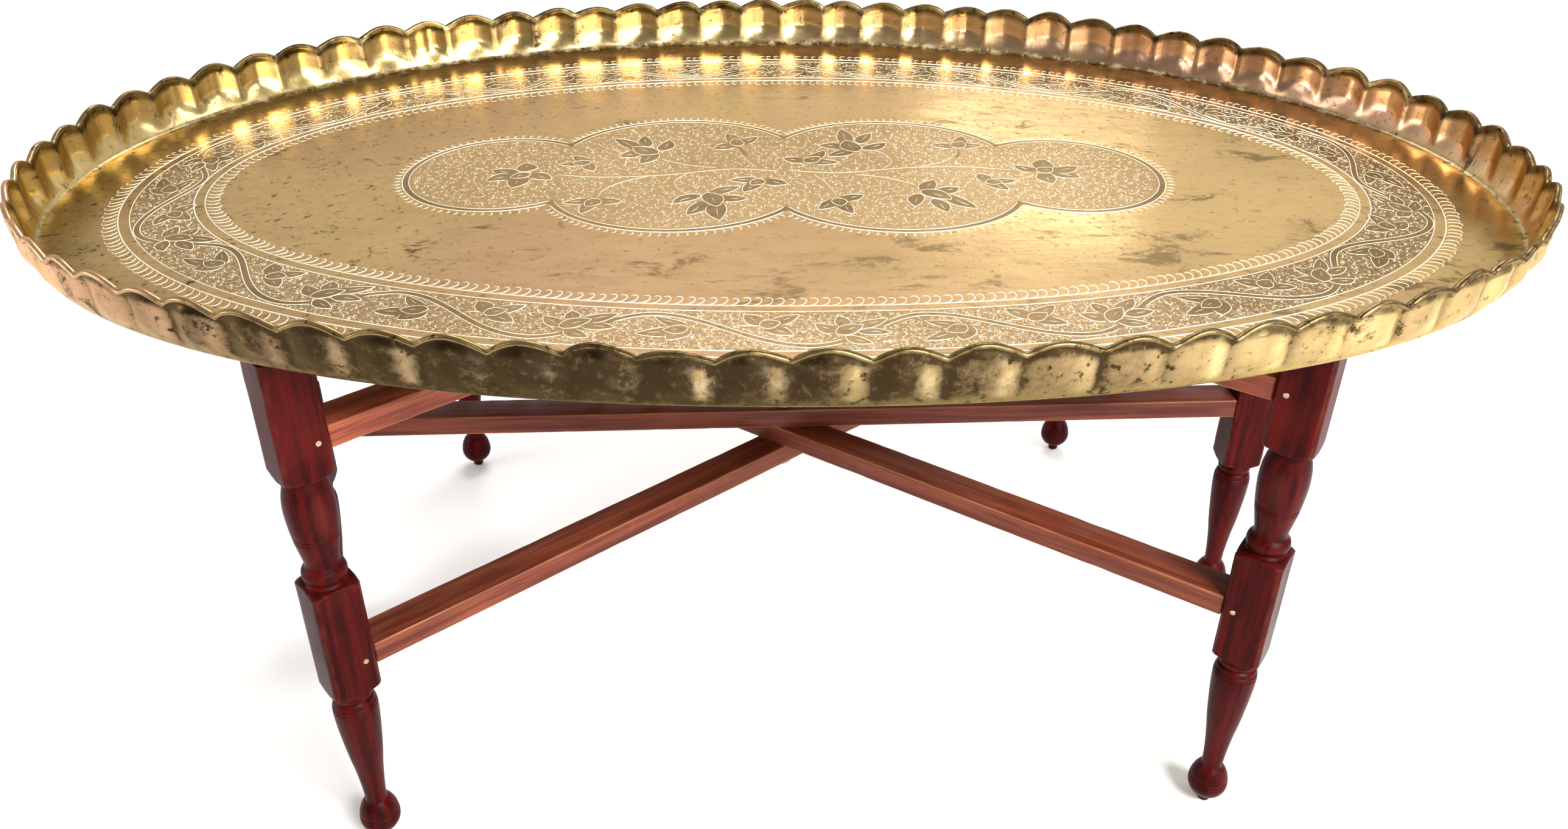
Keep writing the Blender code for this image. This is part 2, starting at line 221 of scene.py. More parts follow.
def brass_sheet():
    """Aged brass: drifting colour, dark blotches, specks, long scratches and soft hammer marks, with
    painted shade and painted highlights laid in through the sheet's attributes.
    """
    f = Finish("aged_brass_sheet", 1.0, EDGE_TINT)
    drift = f.noise(2.4, 4.0, 0.55)
    cloud = f.noise(7.0, 6.0, 0.62, warp=0.4)
    mottle = f.noise(46.0, 8.0, 0.72, stretch=(0.55, 1.5, 1.0))
    colour = f.mix(f.span(drift, 0.40, 0.60), TAN, GOLD)
    colour = f.veil(colour, f.noise(4.2, 5.0, 0.6), 0.50, 0.66, 0.7, ROSE)
    colour = f.veil(colour, cloud, 0.50, 0.70, 0.40, GREEN_GOLD)
    for name, tint in (("yellow", YELLOW), ("copper", COPPER), ("green", GREEN_GOLD)):
        colour = f.mix(f.attribute(name), colour, tint)
    colour = f.veil(colour, mottle, 0.46, 0.66, 0.30, BROWN)
    blotch = f.noise(20.0, 12.0, 0.76, stretch=(0.8, 1.4, 1.0), warp=0.5)
    stained = f.span(f.calc("ADD", blotch, f.calc("MULTIPLY", f.attribute("stain"), 0.20)), 0.62, 0.71)
    speck = f.noise(150.0, 5.0, 0.65)
    specks = f.calc("MULTIPLY", f.span(speck, 0.57, 0.68), 0.75)
    dark = f.calc("MULTIPLY", f.calc("MAXIMUM", stained, specks), 0.70)
    crumbs = f.noise(150.0, 8.0, 0.75)
    # real patina together with painted shade: under the lip, in the cups' right halves, in the inner
    # cove, on the front and across the left of the floor
    grime_and_shade = f.calc("MULTIPLY", f.attribute("tarnish_and_shade"), f.span(crumbs, 0.32, 0.60, 0.88, 1.08))
    dark = f.calc("MINIMUM", f.calc("ADD", dark, grime_and_shade), 0.985)
    colour = f.mix(dark, colour, TARNISH_AND_SHADE)
    # real polish crust in the corners, and painted highlight on the outside facets
    crust_and_highlight = f.calc("MULTIPLY", f.attribute("residue_and_highlight"), f.span(f.noise(95.0, 5.0, 0.7), 0.46, 0.60))
    colour = f.mix(crust_and_highlight, colour, RESIDUE_AND_HIGHLIGHT)
    along = f.noise(11.0, 4.0, 0.6, stretch=(2.0, 34.0, 8.0))
    across = f.noise(9.0, 4.0, 0.6, stretch=(40.0, 3.0, 8.0))
    roughness = f.span(mottle, 0.30, 0.70, 0.13, 0.26)
    for layer, rise in ((dark, 0.20), (crust_and_highlight, 0.35)):
        roughness = f.calc("ADD", roughness, f.calc("MULTIPLY", layer, rise))
    normal = f.bump(f.calc("ADD", along, across), 0.0004, 0.12)
    normal = f.bump(f.noise(24.0, 2.0, 0.4), 0.0020, 0.10, normal)
    normal = f.bump(speck, 0.0003, 0.25, normal)
    return f.finish(colour, roughness, normal)


def chased_line():
    """Struck lines catch the light and hold pale polish, with brown left in their roughest spots."""
    f = Finish("chased_line_brass", 0.45)
    worn = f.noise(5.0, 5.0, 0.6, warp=0.3)
    fine = f.noise(130.0, 3.0, 0.6)
    colour = f.mix(f.span(worn, 0.34, 0.62), (0.86, 0.74, 0.50), (1.0, 0.94, 0.76))
    colour = f.veil(colour, fine, 0.58, 0.74, 0.5, (0.50, 0.34, 0.17))
    return f.finish(colour, f.span(fine, 0.3, 0.7, 0.40, 0.58), f.bump(fine, 0.0002, 0.3))


def matted_ground(name, pale, deep, contrast):
    """The ground between the motifs, stippled, with dark in the hollows of the stipple."""
    f = Finish(name, 1.0, EDGE_TINT)
    worn = f.noise(5.0, 5.0, 0.6, warp=0.3)
    grain = f.noise(420.0, 4.0, 0.7)
    colour = f.mix(f.span(worn, 0.36, 0.64), deep, pale)
    colour = f.veil(colour, grain, 0.54, 0.66, contrast, (0.95, 0.78, 0.50))
    colour = f.veil(colour, grain, 0.48, 0.38, contrast, (0.14, 0.085, 0.04))
    return f.finish(colour, f.span(grain, 0.3, 0.7, 0.34, 0.22), f.bump(grain, 0.0005, 0.35))


def plain_petal():
    """Smooth brass left inside the petals and the vine, darker than the open floor."""
    f = Finish("smooth_petal_brass", 1.0, EDGE_TINT)
    drift = f.noise(9.0, 5.0, 0.6)
    grain = f.noise(150.0, 4.0, 0.6)
    colour = f.mix(f.span(drift, 0.36, 0.64), (0.165, 0.110, 0.058), (0.265, 0.178, 0.096))
    colour = f.veil(colour, grain, 0.52, 0.70, 0.5, (0.16, 0.10, 0.05))
    return f.finish(colour, f.span(grain, 0.3, 0.7, 0.24, 0.38), f.bump(grain, 0.0003, 0.25))


def mahogany():
    """Dark red turned wood under an old varnish, worn paler on its corners."""
    f = Finish("dark_mahogany_varnish")
    grain = f.noise(16.0, 7.0, 0.62, stretch=(9.0, 9.0, 0.55), warp=0.25)
    pores = f.noise(30.0, 4.0, 0.6, stretch=(22.0, 22.0, 0.9))
    patch = f.noise(9.0, 3.0, 0.5)
    colour = f.mix(f.span(grain, 0.34, 0.68), (0.017, 0.0010, 0.0009), (0.058, 0.0032, 0.0026))
    colour = f.veil(colour, patch, 0.5, 0.75, 0.5, (0.090, 0.0080, 0.0060))
    colour = f.veil(colour, pores, 0.60, 0.74, 0.7, (0.007, 0.0012, 0.0012))
    colour = f.mix(f.calc("MULTIPLY", f.attribute("wear"), 0.50), colour, (0.150, 0.030, 0.016))
    f.shader.inputs["IOR"].default_value = 1.24
    f.shader.inputs["Specular IOR Level"].default_value = 0.18
    normal = f.bump(f.calc("ADD", grain, pores), 0.0005, 0.22)
    return f.finish(colour, f.span(patch, 0.3, 0.7, 0.32, 0.48), normal)


BOARD_DEEP = (0.105, 0.0150, 0.0075)
BOARD_WARM = (0.290, 0.0700, 0.0310)
BOARD_BRIGHT = (0.360, 0.105, 0.042)


def rail_wood(name, shade):
    """Red-brown boards with long grain along their length, paler on their rubbed edges."""
    f = Finish(name)
    # shade scales every board colour: painted shade, giving a darker copy and a lighter copy of one
    # finish
    deep, warm, bright = np.array((BOARD_DEEP, BOARD_WARM, BOARD_BRIGHT)) * shade
    grain = f.noise(7.0, 8.0, 0.66, stretch=(0.8, 16.0, 16.0), warp=0.35)
    lines = f.noise(22.0, 5.0, 0.6, stretch=(0.7, 26.0, 26.0))
    patch = f.noise(5.0, 3.0, 0.5)
    colour = f.mix(f.span(grain, 0.34, 0.66), deep, warm)
    colour = f.veil(colour, patch, 0.45, 0.75, 0.5, bright)
    colour = f.veil(colour, lines, 0.56, 0.72, 0.75, (0.036, 0.007, 0.005))
    colour = f.mix(f.calc("MULTIPLY", f.attribute("wear"), 0.60), colour, (0.380, 0.165, 0.078))
    f.shader.inputs["Specular IOR Level"].default_value = 0.20
    f.shader.inputs["Coat Weight"].default_value = 0.04
    f.shader.inputs["Coat Roughness"].default_value = 0.25
    normal = f.bump(f.calc("ADD", grain, lines), 0.0005, 0.30)
    return f.finish(colour, f.span(patch, 0.3, 0.7, 0.40, 0.56), normal)


def plain_metal(name, bright, dull, roughness):
    """Small fittings: dulled metal with darker pitting."""
    f = Finish(name, 1.0)
    wear = f.noise(120.0, 6.0, 0.65)
    pits = f.noise(520.0, 3.0, 0.6)
    colour = f.mix(f.span(wear, 0.36, 0.66), dull, bright)
    colour = f.veil(colour, pits, 0.58, 0.70, 0.6, (0.06, 0.04, 0.03))
    rough = f.span(wear, 0.3, 0.7, roughness + 0.15, roughness)
    return f.finish(colour, rough, f.bump(pits, 0.0003, 0.3))


def studio_floor():
    """A plain pale floor."""
    f = Finish("pale_studio_floor")
    soft = f.noise(1.3, 3.0, 0.5)
    fine = f.noise(60.0, 3.0, 0.5)
    colour = f.mix(soft, (0.90, 0.90, 0.90), (0.93, 0.93, 0.93))
    return f.finish(colour, 0.75, f.bump(fine, 0.0004, 0.05))


# ---- mesh helpers -----------------------------------------------------------------------------
def add_piece(name, verts, faces, material, smooth_angle=None):
    mesh = bpy.data.meshes.new(name)
    mesh.from_pydata(np.asarray(verts, float).tolist(), [], faces)
    mesh.materials.append(material)
    mesh.shade_smooth()
    if smooth_angle is not None:
        mesh.set_sharp_from_angle(angle=math.radians(smooth_angle))
    obj = bpy.data.objects.new(name, mesh)
    bpy.context.scene.collection.objects.link(obj)
    return obj


def hand_over(piece, body, node=None):
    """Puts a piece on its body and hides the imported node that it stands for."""
    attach(piece, body)
    if node is not None:
        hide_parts(node)


def set_attribute(obj, name, values):
    layer = obj.data.attributes.new(name, "FLOAT", "POINT")
    layer.data.foreach_set("value", np.asarray(values, np.float32).ravel())


def tube_faces(rings, columns, close_ends=True, wrap=False):
    """Quads between rings of columns; the ends are fans to one vertex each, or the tube wraps round."""
    column = np.arange(columns)
    after = (column + 1) % columns
    faces = []
    last = rings if wrap else rings - 1
    for ring in range(last):
        low = ring * columns
        high = ((ring + 1) % rings) * columns
        faces += np.stack((low + column, low + after, high + after, high + column), 1).tolist()
    if close_ends and not wrap:
        first_tip = rings * columns
        last_tip = first_tip + 1
        top = (rings - 1) * columns
        faces += np.stack((after, column, np.full(columns, first_tip)), 1).tolist()
        faces += np.stack((top + column, top + after, np.full(columns, last_tip)), 1).tolist()
    return faces


def smooth_step(value, low, high):
    t = np.clip((np.asarray(value, float) - low) / (high - low), 0.0, 1.0)
    return t * t * (3 - 2 * t)


def unit(vectors):
    """Vectors scaled to length one."""
    return vectors / np.linalg.norm(vectors, axis=-1, keepdims=True)


def polar(angle):
    """Unit vectors at angles from +X."""
    return np.stack((np.cos(angle), np.sin(angle)), -1)


def stretches(shown):
    """Beginning and end of each run of true values."""
    edges = np.flatnonzero(np.diff(np.concatenate(([0], shown.astype(int), [0]))))
    return zip(edges[::2], edges[1::2])


def smooth_run(points, per_span):
    """A smooth curve through points, with per_span steps between each two of them."""
    p = np.asarray(points, float)
    p = np.vstack((2 * p[0] - p[1], p, 2 * p[-1] - p[-2]))
    runs = []
    t = np.linspace(0, 1, per_span, endpoint=False)[:, None]
    for i in range(1, len(p) - 2):
        a, b, c, d = p[i - 1], p[i], p[i + 1], p[i + 2]
        square, cube = 2 * a - 5 * b + 4 * c - d, 3 * b - a - 3 * c + d
        runs.append(0.5 * (2 * b + (c - a) * t + square * t**2 + cube * t**3))
    runs.append(p[-2][None, :])
    return np.vstack(runs)


class Ripple:
    """A smooth repeatable unevenness over a plane, made of a few long waves in random directions."""

    def __init__(self, shortest, longest, count):
        heading = rng.uniform(0, 2 * math.pi, count)
        length = rng.uniform(shortest, longest, count)
        self.kx = 2 * math.pi / length * np.cos(heading)
        self.ky = 2 * math.pi / length * np.sin(heading)
        self.phase = rng.uniform(0, 2 * math.pi, count)

    def __call__(self, x, y):
        x = np.asarray(x, float)[..., None]
        y = np.asarray(y, float)[..., None]
        return np.sin(self.kx * x + self.ky * y + self.phase).mean(axis=-1)


# ---- tray -------------------------------------------------------------------------------------
class Oval:
    """A closed oval walked by arc length from its +X end, anticlockwise from above."""

    def __init__(self, half_length, half_width, power=OVAL_POWER, fine=7200):
        angle = np.linspace(0, 2 * math.pi, fine + 1)
        c, s = np.cos(angle), np.sin(angle)
        x = np.sign(c) * np.abs(c) ** (2 / power) * half_length
        y = np.sign(s) * np.abs(s) ** (2 / power) * half_width
        self.trace = np.stack((x, y), 1)
        steps = np.linalg.norm(np.diff(self.trace, axis=0), axis=1)
        self.travel = np.concatenate(([0.0], np.cumsum(steps)))
        self.length = self.travel[-1]

    def points(self, share):
        target = np.mod(share, 1.0) * self.length
        x = np.interp(target, self.travel, self.trace[:, 0])
        y = np.interp(target, self.travel, self.trace[:, 1])
        return np.stack((x, y), -1)

    def normals(self, share):
        """Unit outward directions."""
        step = 0.0006
        d = self.points(np.asarray(share) + step) - self.points(np.asarray(share) - step)
        d = unit(d)
        return np.stack((d[..., 1], -d[..., 0]), -1)

    def strip(self, along, inward, start=0.0):
        """Points at a travelled distance and an inward distance from the oval."""
        share = start + np.asarray(along) / self.length
        return self.points(share) - self.normals(share) * np.asarray(inward)[..., None]


floor_ripple = Ripple(0.12, 0.30, 9)
FLOOR_RIPPLE = 0.0006


def droop(x):
    """How far the tray has sagged at x."""
    return CROWN * np.asarray(x) ** 2


def floor_height(x, y):
    """Top of the tray's floor, a little uneven from beating, level near the wall."""
    reach = np.sqrt((x / 0.575) ** 2 + (y / 0.363) ** 2)
    calm = 1.0 - smooth_step(reach, 0.86, 0.99)
    return FLOOR_TOP + FLOOR_RIPPLE * floor_ripple(x, y) * calm - droop(x)


def scallop_phases():
    """Share of the way round, phase within the scallop and scallop number of each column."""
    notch = (np.arange(SCALLOPS) + rng.normal(0, 0.030, SCALLOPS)) / SCALLOPS
    ends = np.append(notch[1:], notch[0] + 1.0)
    phase = np.arange(COLUMNS_PER_SCALLOP) / COLUMNS_PER_SCALLOP
    share = notch[:, None] + (ends - notch)[:, None] * phase
    number = np.repeat(np.arange(SCALLOPS), COLUMNS_PER_SCALLOP)
    return share.ravel(), np.tile(phase, SCALLOPS), number


def per_scallop(number, spread, centre=1.0):
    """A random value for each scallop, given to all of its columns."""
    return (centre + rng.normal(0, spread, SCALLOPS))[number]


def per_notch(number, phase, spread):
    """A random value at each notch, carried in a straight line to the next."""
    value = rng.normal(0, spread, SCALLOPS)
    return value[number] * (1 - phase) + value[(number + 1) % SCALLOPS] * phase


def tray_sheet(material):
    """The whole tray as one sheet: floor, fluted wall, rolled lip, wall and floor from outside."""
    share, phase, number = scallop_phases()
    rim = Oval(RIM_HALF_LENGTH, RIM_HALF_WIDTH)
    base = rim.points(share)
    out = rim.normals(share)

    peak = per_scallop(number, 0.05, 0.88)
    arch = np.sin(math.pi * phase**peak) ** 1.05 * per_scallop(number, 0.12)
    lip_plan = np.sin(math.pi * phase) ** 0.85 * per_scallop(number, 0.12)
    dent_place = per_scallop(number, 0.03, 0.60)
    dent_depth = per_scallop(number, 0.06, 0.16)
    ridge = per_scallop(number, 0.05, 0.50)
    lean = np.where(phase < ridge, phase / ridge, (1.0 - phase) / (1.0 - ridge))
    dome = 1.0 - (1.0 - lean) ** 1.5
    dent = dent_depth * np.exp(-(((phase - dent_place) / 0.115) ** 2))
    flute = dome * (1 - dent) * per_scallop(number, 0.10)
    notch_rise = per_notch(number, phase, 0.0006)
    notch_out = per_notch(number, phase, 0.0007)

    def ring(inset, height, flute_share, lip_share, arch_share):
        offset = -inset + notch_out * lip_share
        offset = offset + WALL_FLUTE * flute * flute_share + LIP_SWELL * lip_plan * lip_share
        z = UNDERSIDE + height + arch_share * (LIP_ARCH * arch + notch_rise)
        xy = base + out * offset[:, None]
        return np.column_stack((xy, z - droop(xy[:, 0])))

    def wall_rings(section, upward):
        made = []
        for inset, height in section if upward else section[::-1]:
            top = float(smooth_step(height, 0.0290, 0.0355))
            fluted = float(smooth_step(height, 0.0030, 0.0200)) * (1 - top)
            made.append(ring(inset, height, fluted + 0.30 * top, 0.70 * top,
                             float(smooth_step(height, 0.0100, 0.0360))))
        return made

    outer = smooth_run(WALL_SECTION, 3)
    slope = unit(np.gradient(outer, axis=0))
    inner = outer + SHEET * np.stack((slope[:, 1], -slope[:, 0]), 1)

    rings = []
    kinds = []
    edge = base - out * FLOOR_EDGE_INSET
    for scale in np.concatenate((np.linspace(0.012, 0.90, 30), (0.93, 0.955, 0.975, 0.99))):
        xy = edge * scale
        rings.append(np.column_stack((xy, floor_height(xy[:, 0], xy[:, 1]))))
        kinds.append(("floor", scale))
    rings += wall_rings(inner, True)
    kinds += [("inside", h) for _, h in inner]
    for angle in np.radians(np.linspace(150, -150, 11)):
        inset = LIP_CENTRE[0] - LIP_RADII[0] * math.cos(angle)
        height = LIP_CENTRE[1] + LIP_RADII[1] * math.sin(angle)
        rings.append(ring(inset, height, 0.0, 1.0, 1.0))
        kinds.append(("lip", angle))
    rings += wall_rings(outer, False)
    kinds += [("outside", h) for _, h in outer[::-1]]
    for scale in (0.985, 0.95, 0.85, 0.65, 0.40, 0.15, 0.012):
        xy = edge * scale
        rings.append(np.column_stack((xy, UNDERSIDE - droop(xy[:, 0]))))
        kinds.append(("under", scale))

    verts = np.vstack(rings + [[(0, 0, float(floor_height(0.0, 0.0)))], [(0, 0, UNDERSIDE)]])
    faces = tube_faces(len(rings), len(share))
    tray = add_piece("tray_sheet", verts, faces, material)

    paint_tray(tray, kinds, phase, number, base)
    hand_over(tray, "tray", "brass_tray")


def facing(angle_of, degrees, sharpness):
    """How squarely a stretch of the rim faces a direction, from 0 to 1."""
    return np.clip(np.cos(angle_of - math.radians(degrees)), 0, 1) ** sharpness


def bell(value, middle, width):
    """One at the middle, falling smoothly to nothing on both sides."""
    return np.exp(-(((np.asarray(value) - middle) / width) ** 2))


def paint_tray(tray, kinds, phase, number, base):
    """Where the sheet is dark with patina, coppery, greenish or yellow, ring by ring, and where shade and
    highlights are painted into its colour.
    """
    angle_of = np.arctan2(base[:, 1] / RIM_HALF_WIDTH, base[:, 0] / RIM_HALF_LENGTH)
    mood = np.clip(per_scallop(number, 0.25, 0.80), 0.2, 1.3)
    glint = np.clip(per_scallop(number, 0.30, 0.85), 0.1, 1.3)
    crease = bell(phase, 0.0, 0.10) + bell(phase, 1.0, 0.07)
    # painted shade on top of real patina: the front of the rim is darkened for the dark surroundings it
    # mirrored
    front_patina_and_shade = facing(angle_of, -104, 5)
    front = facing(angle_of, -90, 1)
    left_front = facing(angle_of, -148, 5)
    left = facing(angle_of, 180, 1)
    right = facing(angle_of, 0, 1)
    right_back = facing(angle_of, 38, 4)
    back = facing(angle_of, 90, 1)
    rows = {"tarnish_and_shade": [], "copper": [], "green": [], "yellow": [], "residue_and_highlight": [], "stain": []}
    for kind, value in kinds:
        if kind == "outside":
            wall = float(smooth_step(value, 0.004, 0.011))
            cove = 1 - wall
            # painted shadow: a dark band on the outside wall right under the overhanging lip
            under_lip_shadow = float(smooth_step(value, 0.0285, 0.0335))
            # painted highlight: a bright vertical facet near the right end of each outside scallop,
            # painted by less darkening, more yellow and pale colour
            facet_highlight = glint * bell(phase, 0.80, 0.15) * float(1 - 0.9 * smooth_step(value, 0.026, 0.034))
            shade = 0.30 * mood * (1 - facet_highlight + crease) * (1 - 0.7 * left_front)
            dark = 0.99 * front_patina_and_shade * (1 - 0.30 * facet_highlight)
            now = {
                "tarnish_and_shade": wall * (shade + dark) + 0.45 * under_lip_shadow + cove * (0.25 + 0.7 * front_patina_and_shade),
                "copper": 0.90 * left_front,
                "green": 0.60 * cove * (1 - left_front) + 0.25 * right + 0.25 * front_patina_and_shade,
                "yellow": 0.55 * right + 0.30 * facet_highlight * (1 - left_front),
                "residue_and_highlight": 0.30 * wall * facet_highlight * np.clip(np.cos(angle_of + 1.0), 0, 1) ** 2,
                "stain": 0.25,
            }
        elif kind == "inside":
            wall = float(smooth_step(value, 0.004, 0.010))
            high = float(smooth_step(value, 0.0285, 0.0330))
            # darkening at the foot of the inside wall, in its corner with the floor: partly patina left
            # in the corner, partly painted shade
            foot = float(bell(value, 0.0020, 0.0022))
            # painted shade: the right half of each cup is darkened where its reflection is dim
            far_side_shade = bell(phase, 0.72, 0.20) * 0.30
            now = {
                "tarnish_and_shade": wall * mood * (far_side_shade + 0.55 * crease) + 0.62 * high + 0.62 * foot,
                "copper": 0.75 * right_back * wall + 0.12 * back * (1 - wall),
                "green": 0.60 * high + 0.12 * left,
                "yellow": 0.75 * (1 - right_back),
                "residue_and_highlight": foot * (0.20 + 0.70 * back),
                "stain": 0.2,
            }
        elif kind == "lip":
            now = {
                "tarnish_and_shade": 0.62 + 0.26 * mood * (1 - 0.4 * right) - 0.50 * left_front,
                "copper": 0.85 * left_front + 0.25 * right_back,
                "green": 0.45 * front_patina_and_shade + 0.45 * back,
                "yellow": 0.4,
            }
        elif kind == "floor":
            rimward = float(smooth_step(value, 0.90, 0.995))
            # painted shade: the left of the floor is darkened and the right tinted lighter yellow, for
            # light that fell brighter at the right
            leftward_shade = smooth_step(-base[:, 0] * value, -0.05, 0.42)
            smudge = 0.10 * rimward * (left + front_patina_and_shade) * mood
            now = {
                "tarnish_and_shade": 0.38 * leftward_shade + 0.14 * rimward + smudge,
                "copper": 0.22 * right_back * rimward + 0.08 * back * rimward,
                "green": 0.05 + 0.55 * rimward * np.clip(left + 0.6 * front, 0, 1),
                "yellow": 0.35 * right * value,
                "residue_and_highlight": 0.20 * rimward * back,
                "stain": 0.30 + 0.40 * front * value - 0.25 * leftward_shade,
            }
        else:
            now = {"tarnish_and_shade": 0.45, "green": 0.40, "stain": 0.7}
        for name, painted in rows.items():
            painted.append(np.zeros(len(phase)) + now.get(name, 0.0))
    for name, painted in rows.items():
        set_attribute(tray, name, np.clip(np.concatenate(painted + [np.zeros(2)]), 0, 1))


# ---- chasing ----------------------------------------------------------------------------------
class Plan:
    """The tray's floor seen from above, in small cells, with what is already covered by a motif."""

    CELL = 0.0007

    def __init__(self):
        self.nx = int(2 * RIM_HALF_LENGTH / self.CELL) + 1
        self.ny = int(2 * RIM_HALF_WIDTH / self.CELL) + 1
        self.cover = np.zeros((self.nx, self.ny), bool)

    def cells(self, points):
        i = np.clip(((points[:, 0] + RIM_HALF_LENGTH) / self.CELL).astype(int), 0, self.nx - 1)
        j = np.clip(((points[:, 1] + RIM_HALF_WIDTH) / self.CELL).astype(int), 0, self.ny - 1)
        return i, j

    def covered(self, points):
        return self.cover[self.cells(points)]

    def paint(self, outline):
        low, high = outline.min(0), outline.max(0)
        x = np.arange(low[0], high[0] + self.CELL, self.CELL)
        y = np.arange(low[1], high[1] + self.CELL, self.CELL)
        gx, gy = np.meshgrid(x, y, indexing="ij")
        inside = np.zeros(gx.shape, bool)
        for (x0, y0), (x1, y1) in zip(outline, np.roll(outline, -1, axis=0)):
            crosses = (y0 > gy) != (y1 > gy)
            if y1 != y0:
                inside ^= crosses & (gx < (x1 - x0) * (gy - y0) / (y1 - y0) + x0)
        spots = np.stack((gx[inside], gy[inside]), 1)
        self.cover[self.cells(spots)] = True

    def paint_line(self, points, width):
        for offset in np.linspace(-width / 2, width / 2, 7):
            for other in np.linspace(-width / 2, width / 2, 7):
                self.cover[self.cells(points + (offset, other))] = True


class Gathered:
    """Many small closed solids on the tray's floor, gathered into one mesh."""

    smooth_angle = None

    def __init__(self):
        self.verts = []
        self.faces = []
        self.count = 0

    def piece(self, name, material):
        obj = add_piece(name, np.vstack(self.verts), self.faces, material, self.smooth_angle)
        hand_over(obj, "tray")


class Chasing(Gathered):
    """Struck lines: each is a low ridge with tapered ends."""

    def line(self, points, width, taper=0.004, closed=False):
        points = np.asarray(points, float)
        if len(points) < 3:
            return
        if closed:
            direction = np.roll(points, -1, axis=0) - np.roll(points, 1, axis=0)
        else:
            direction = np.gradient(points, axis=0)
        direction /= np.linalg.norm(direction, axis=1, keepdims=True) + 1e-12
        side = np.stack((direction[:, 1], -direction[:, 0]), 1)
        steps = np.linalg.norm(np.diff(points, axis=0), axis=1)
        travel = np.concatenate(([0.0], np.cumsum(steps)))
        size = np.ones(len(points))
        if not closed:
            nearest = np.minimum(travel, travel[-1] - travel)
            size = 0.25 + 0.75 * np.clip(nearest / min(taper, travel[-1] / 2 + 1e-9), 0, 1)
        half = (width / 2 * size)[:, None]
        ground = floor_height(points[:, 0], points[:, 1])
        left = np.column_stack((points + side * half, ground - LINE_SINK))
        crest = np.column_stack((points, ground + LINE_RISE * size))
        right = np.column_stack((points - side * half, ground - LINE_SINK))
        verts = np.stack((left, crest, right), 1).reshape(-1, 3)
        n = len(points)
        a = self.count + 3 * np.arange(n if closed else n - 1)
        b = self.count + 3 * ((np.arange(len(a)) + 1) % n)
        for low, high in ((0, 1), (1, 2), (2, 0)):
            self.faces += np.stack((a + low, b + low, b + high, a + high), 1).tolist()
        if not closed:
            last = self.count + 3 * (n - 1)
            self.faces.append([self.count, self.count + 1, self.count + 2])
            self.faces.append([last + 2, last + 1, last])
        self.verts.append(verts)
        self.count += len(verts)

    def visible(self, plan, points, width, closed=False):
        """Draws the stretches of a line that no motif covers."""
        points = np.asarray(points, float)
        shown = ~plan.covered(points)
        if closed and shown.all():
            self.line(points, width, closed=True)
            return
        if closed:
            first = int(np.argmin(shown))
            points = np.roll(points, -first, axis=0)
            shown = np.roll(shown, -first)
        for begin, end in stretches(shown):
            self.line(points[begin:end], width)

    def dashes(self, middles, headings, lengths, widths):
        """Many short struck marks at once: each a low four-sided point."""
        n = len(middles)
        d = polar(headings)
        s = np.stack((-d[:, 1], d[:, 0]), 1)
        length = (lengths / 2)[:, None]
        width = (widths / 2)[:, None]
        corners = [middles + d * length, middles + s * width, middles - d * length, middles - s * width]
        ground = floor_height(middles[:, 0], middles[:, 1])
        rows = [np.column_stack((corner, ground - LINE_SINK)) for corner in corners]
        rows.append(np.column_stack((middles, ground + LINE_RISE)))
        verts = np.stack(rows, 1).reshape(-1, 3)
        first = self.count + 5 * np.arange(n)
        for k in range(4):
            self.faces += np.stack((first + k, first + (k + 1) % 4, first + 4), 1).tolist()
        self.faces += np.stack((first + 3, first + 2, first + 1, first), 1).tolist()
        self.verts.append(verts)
        self.count += len(verts)


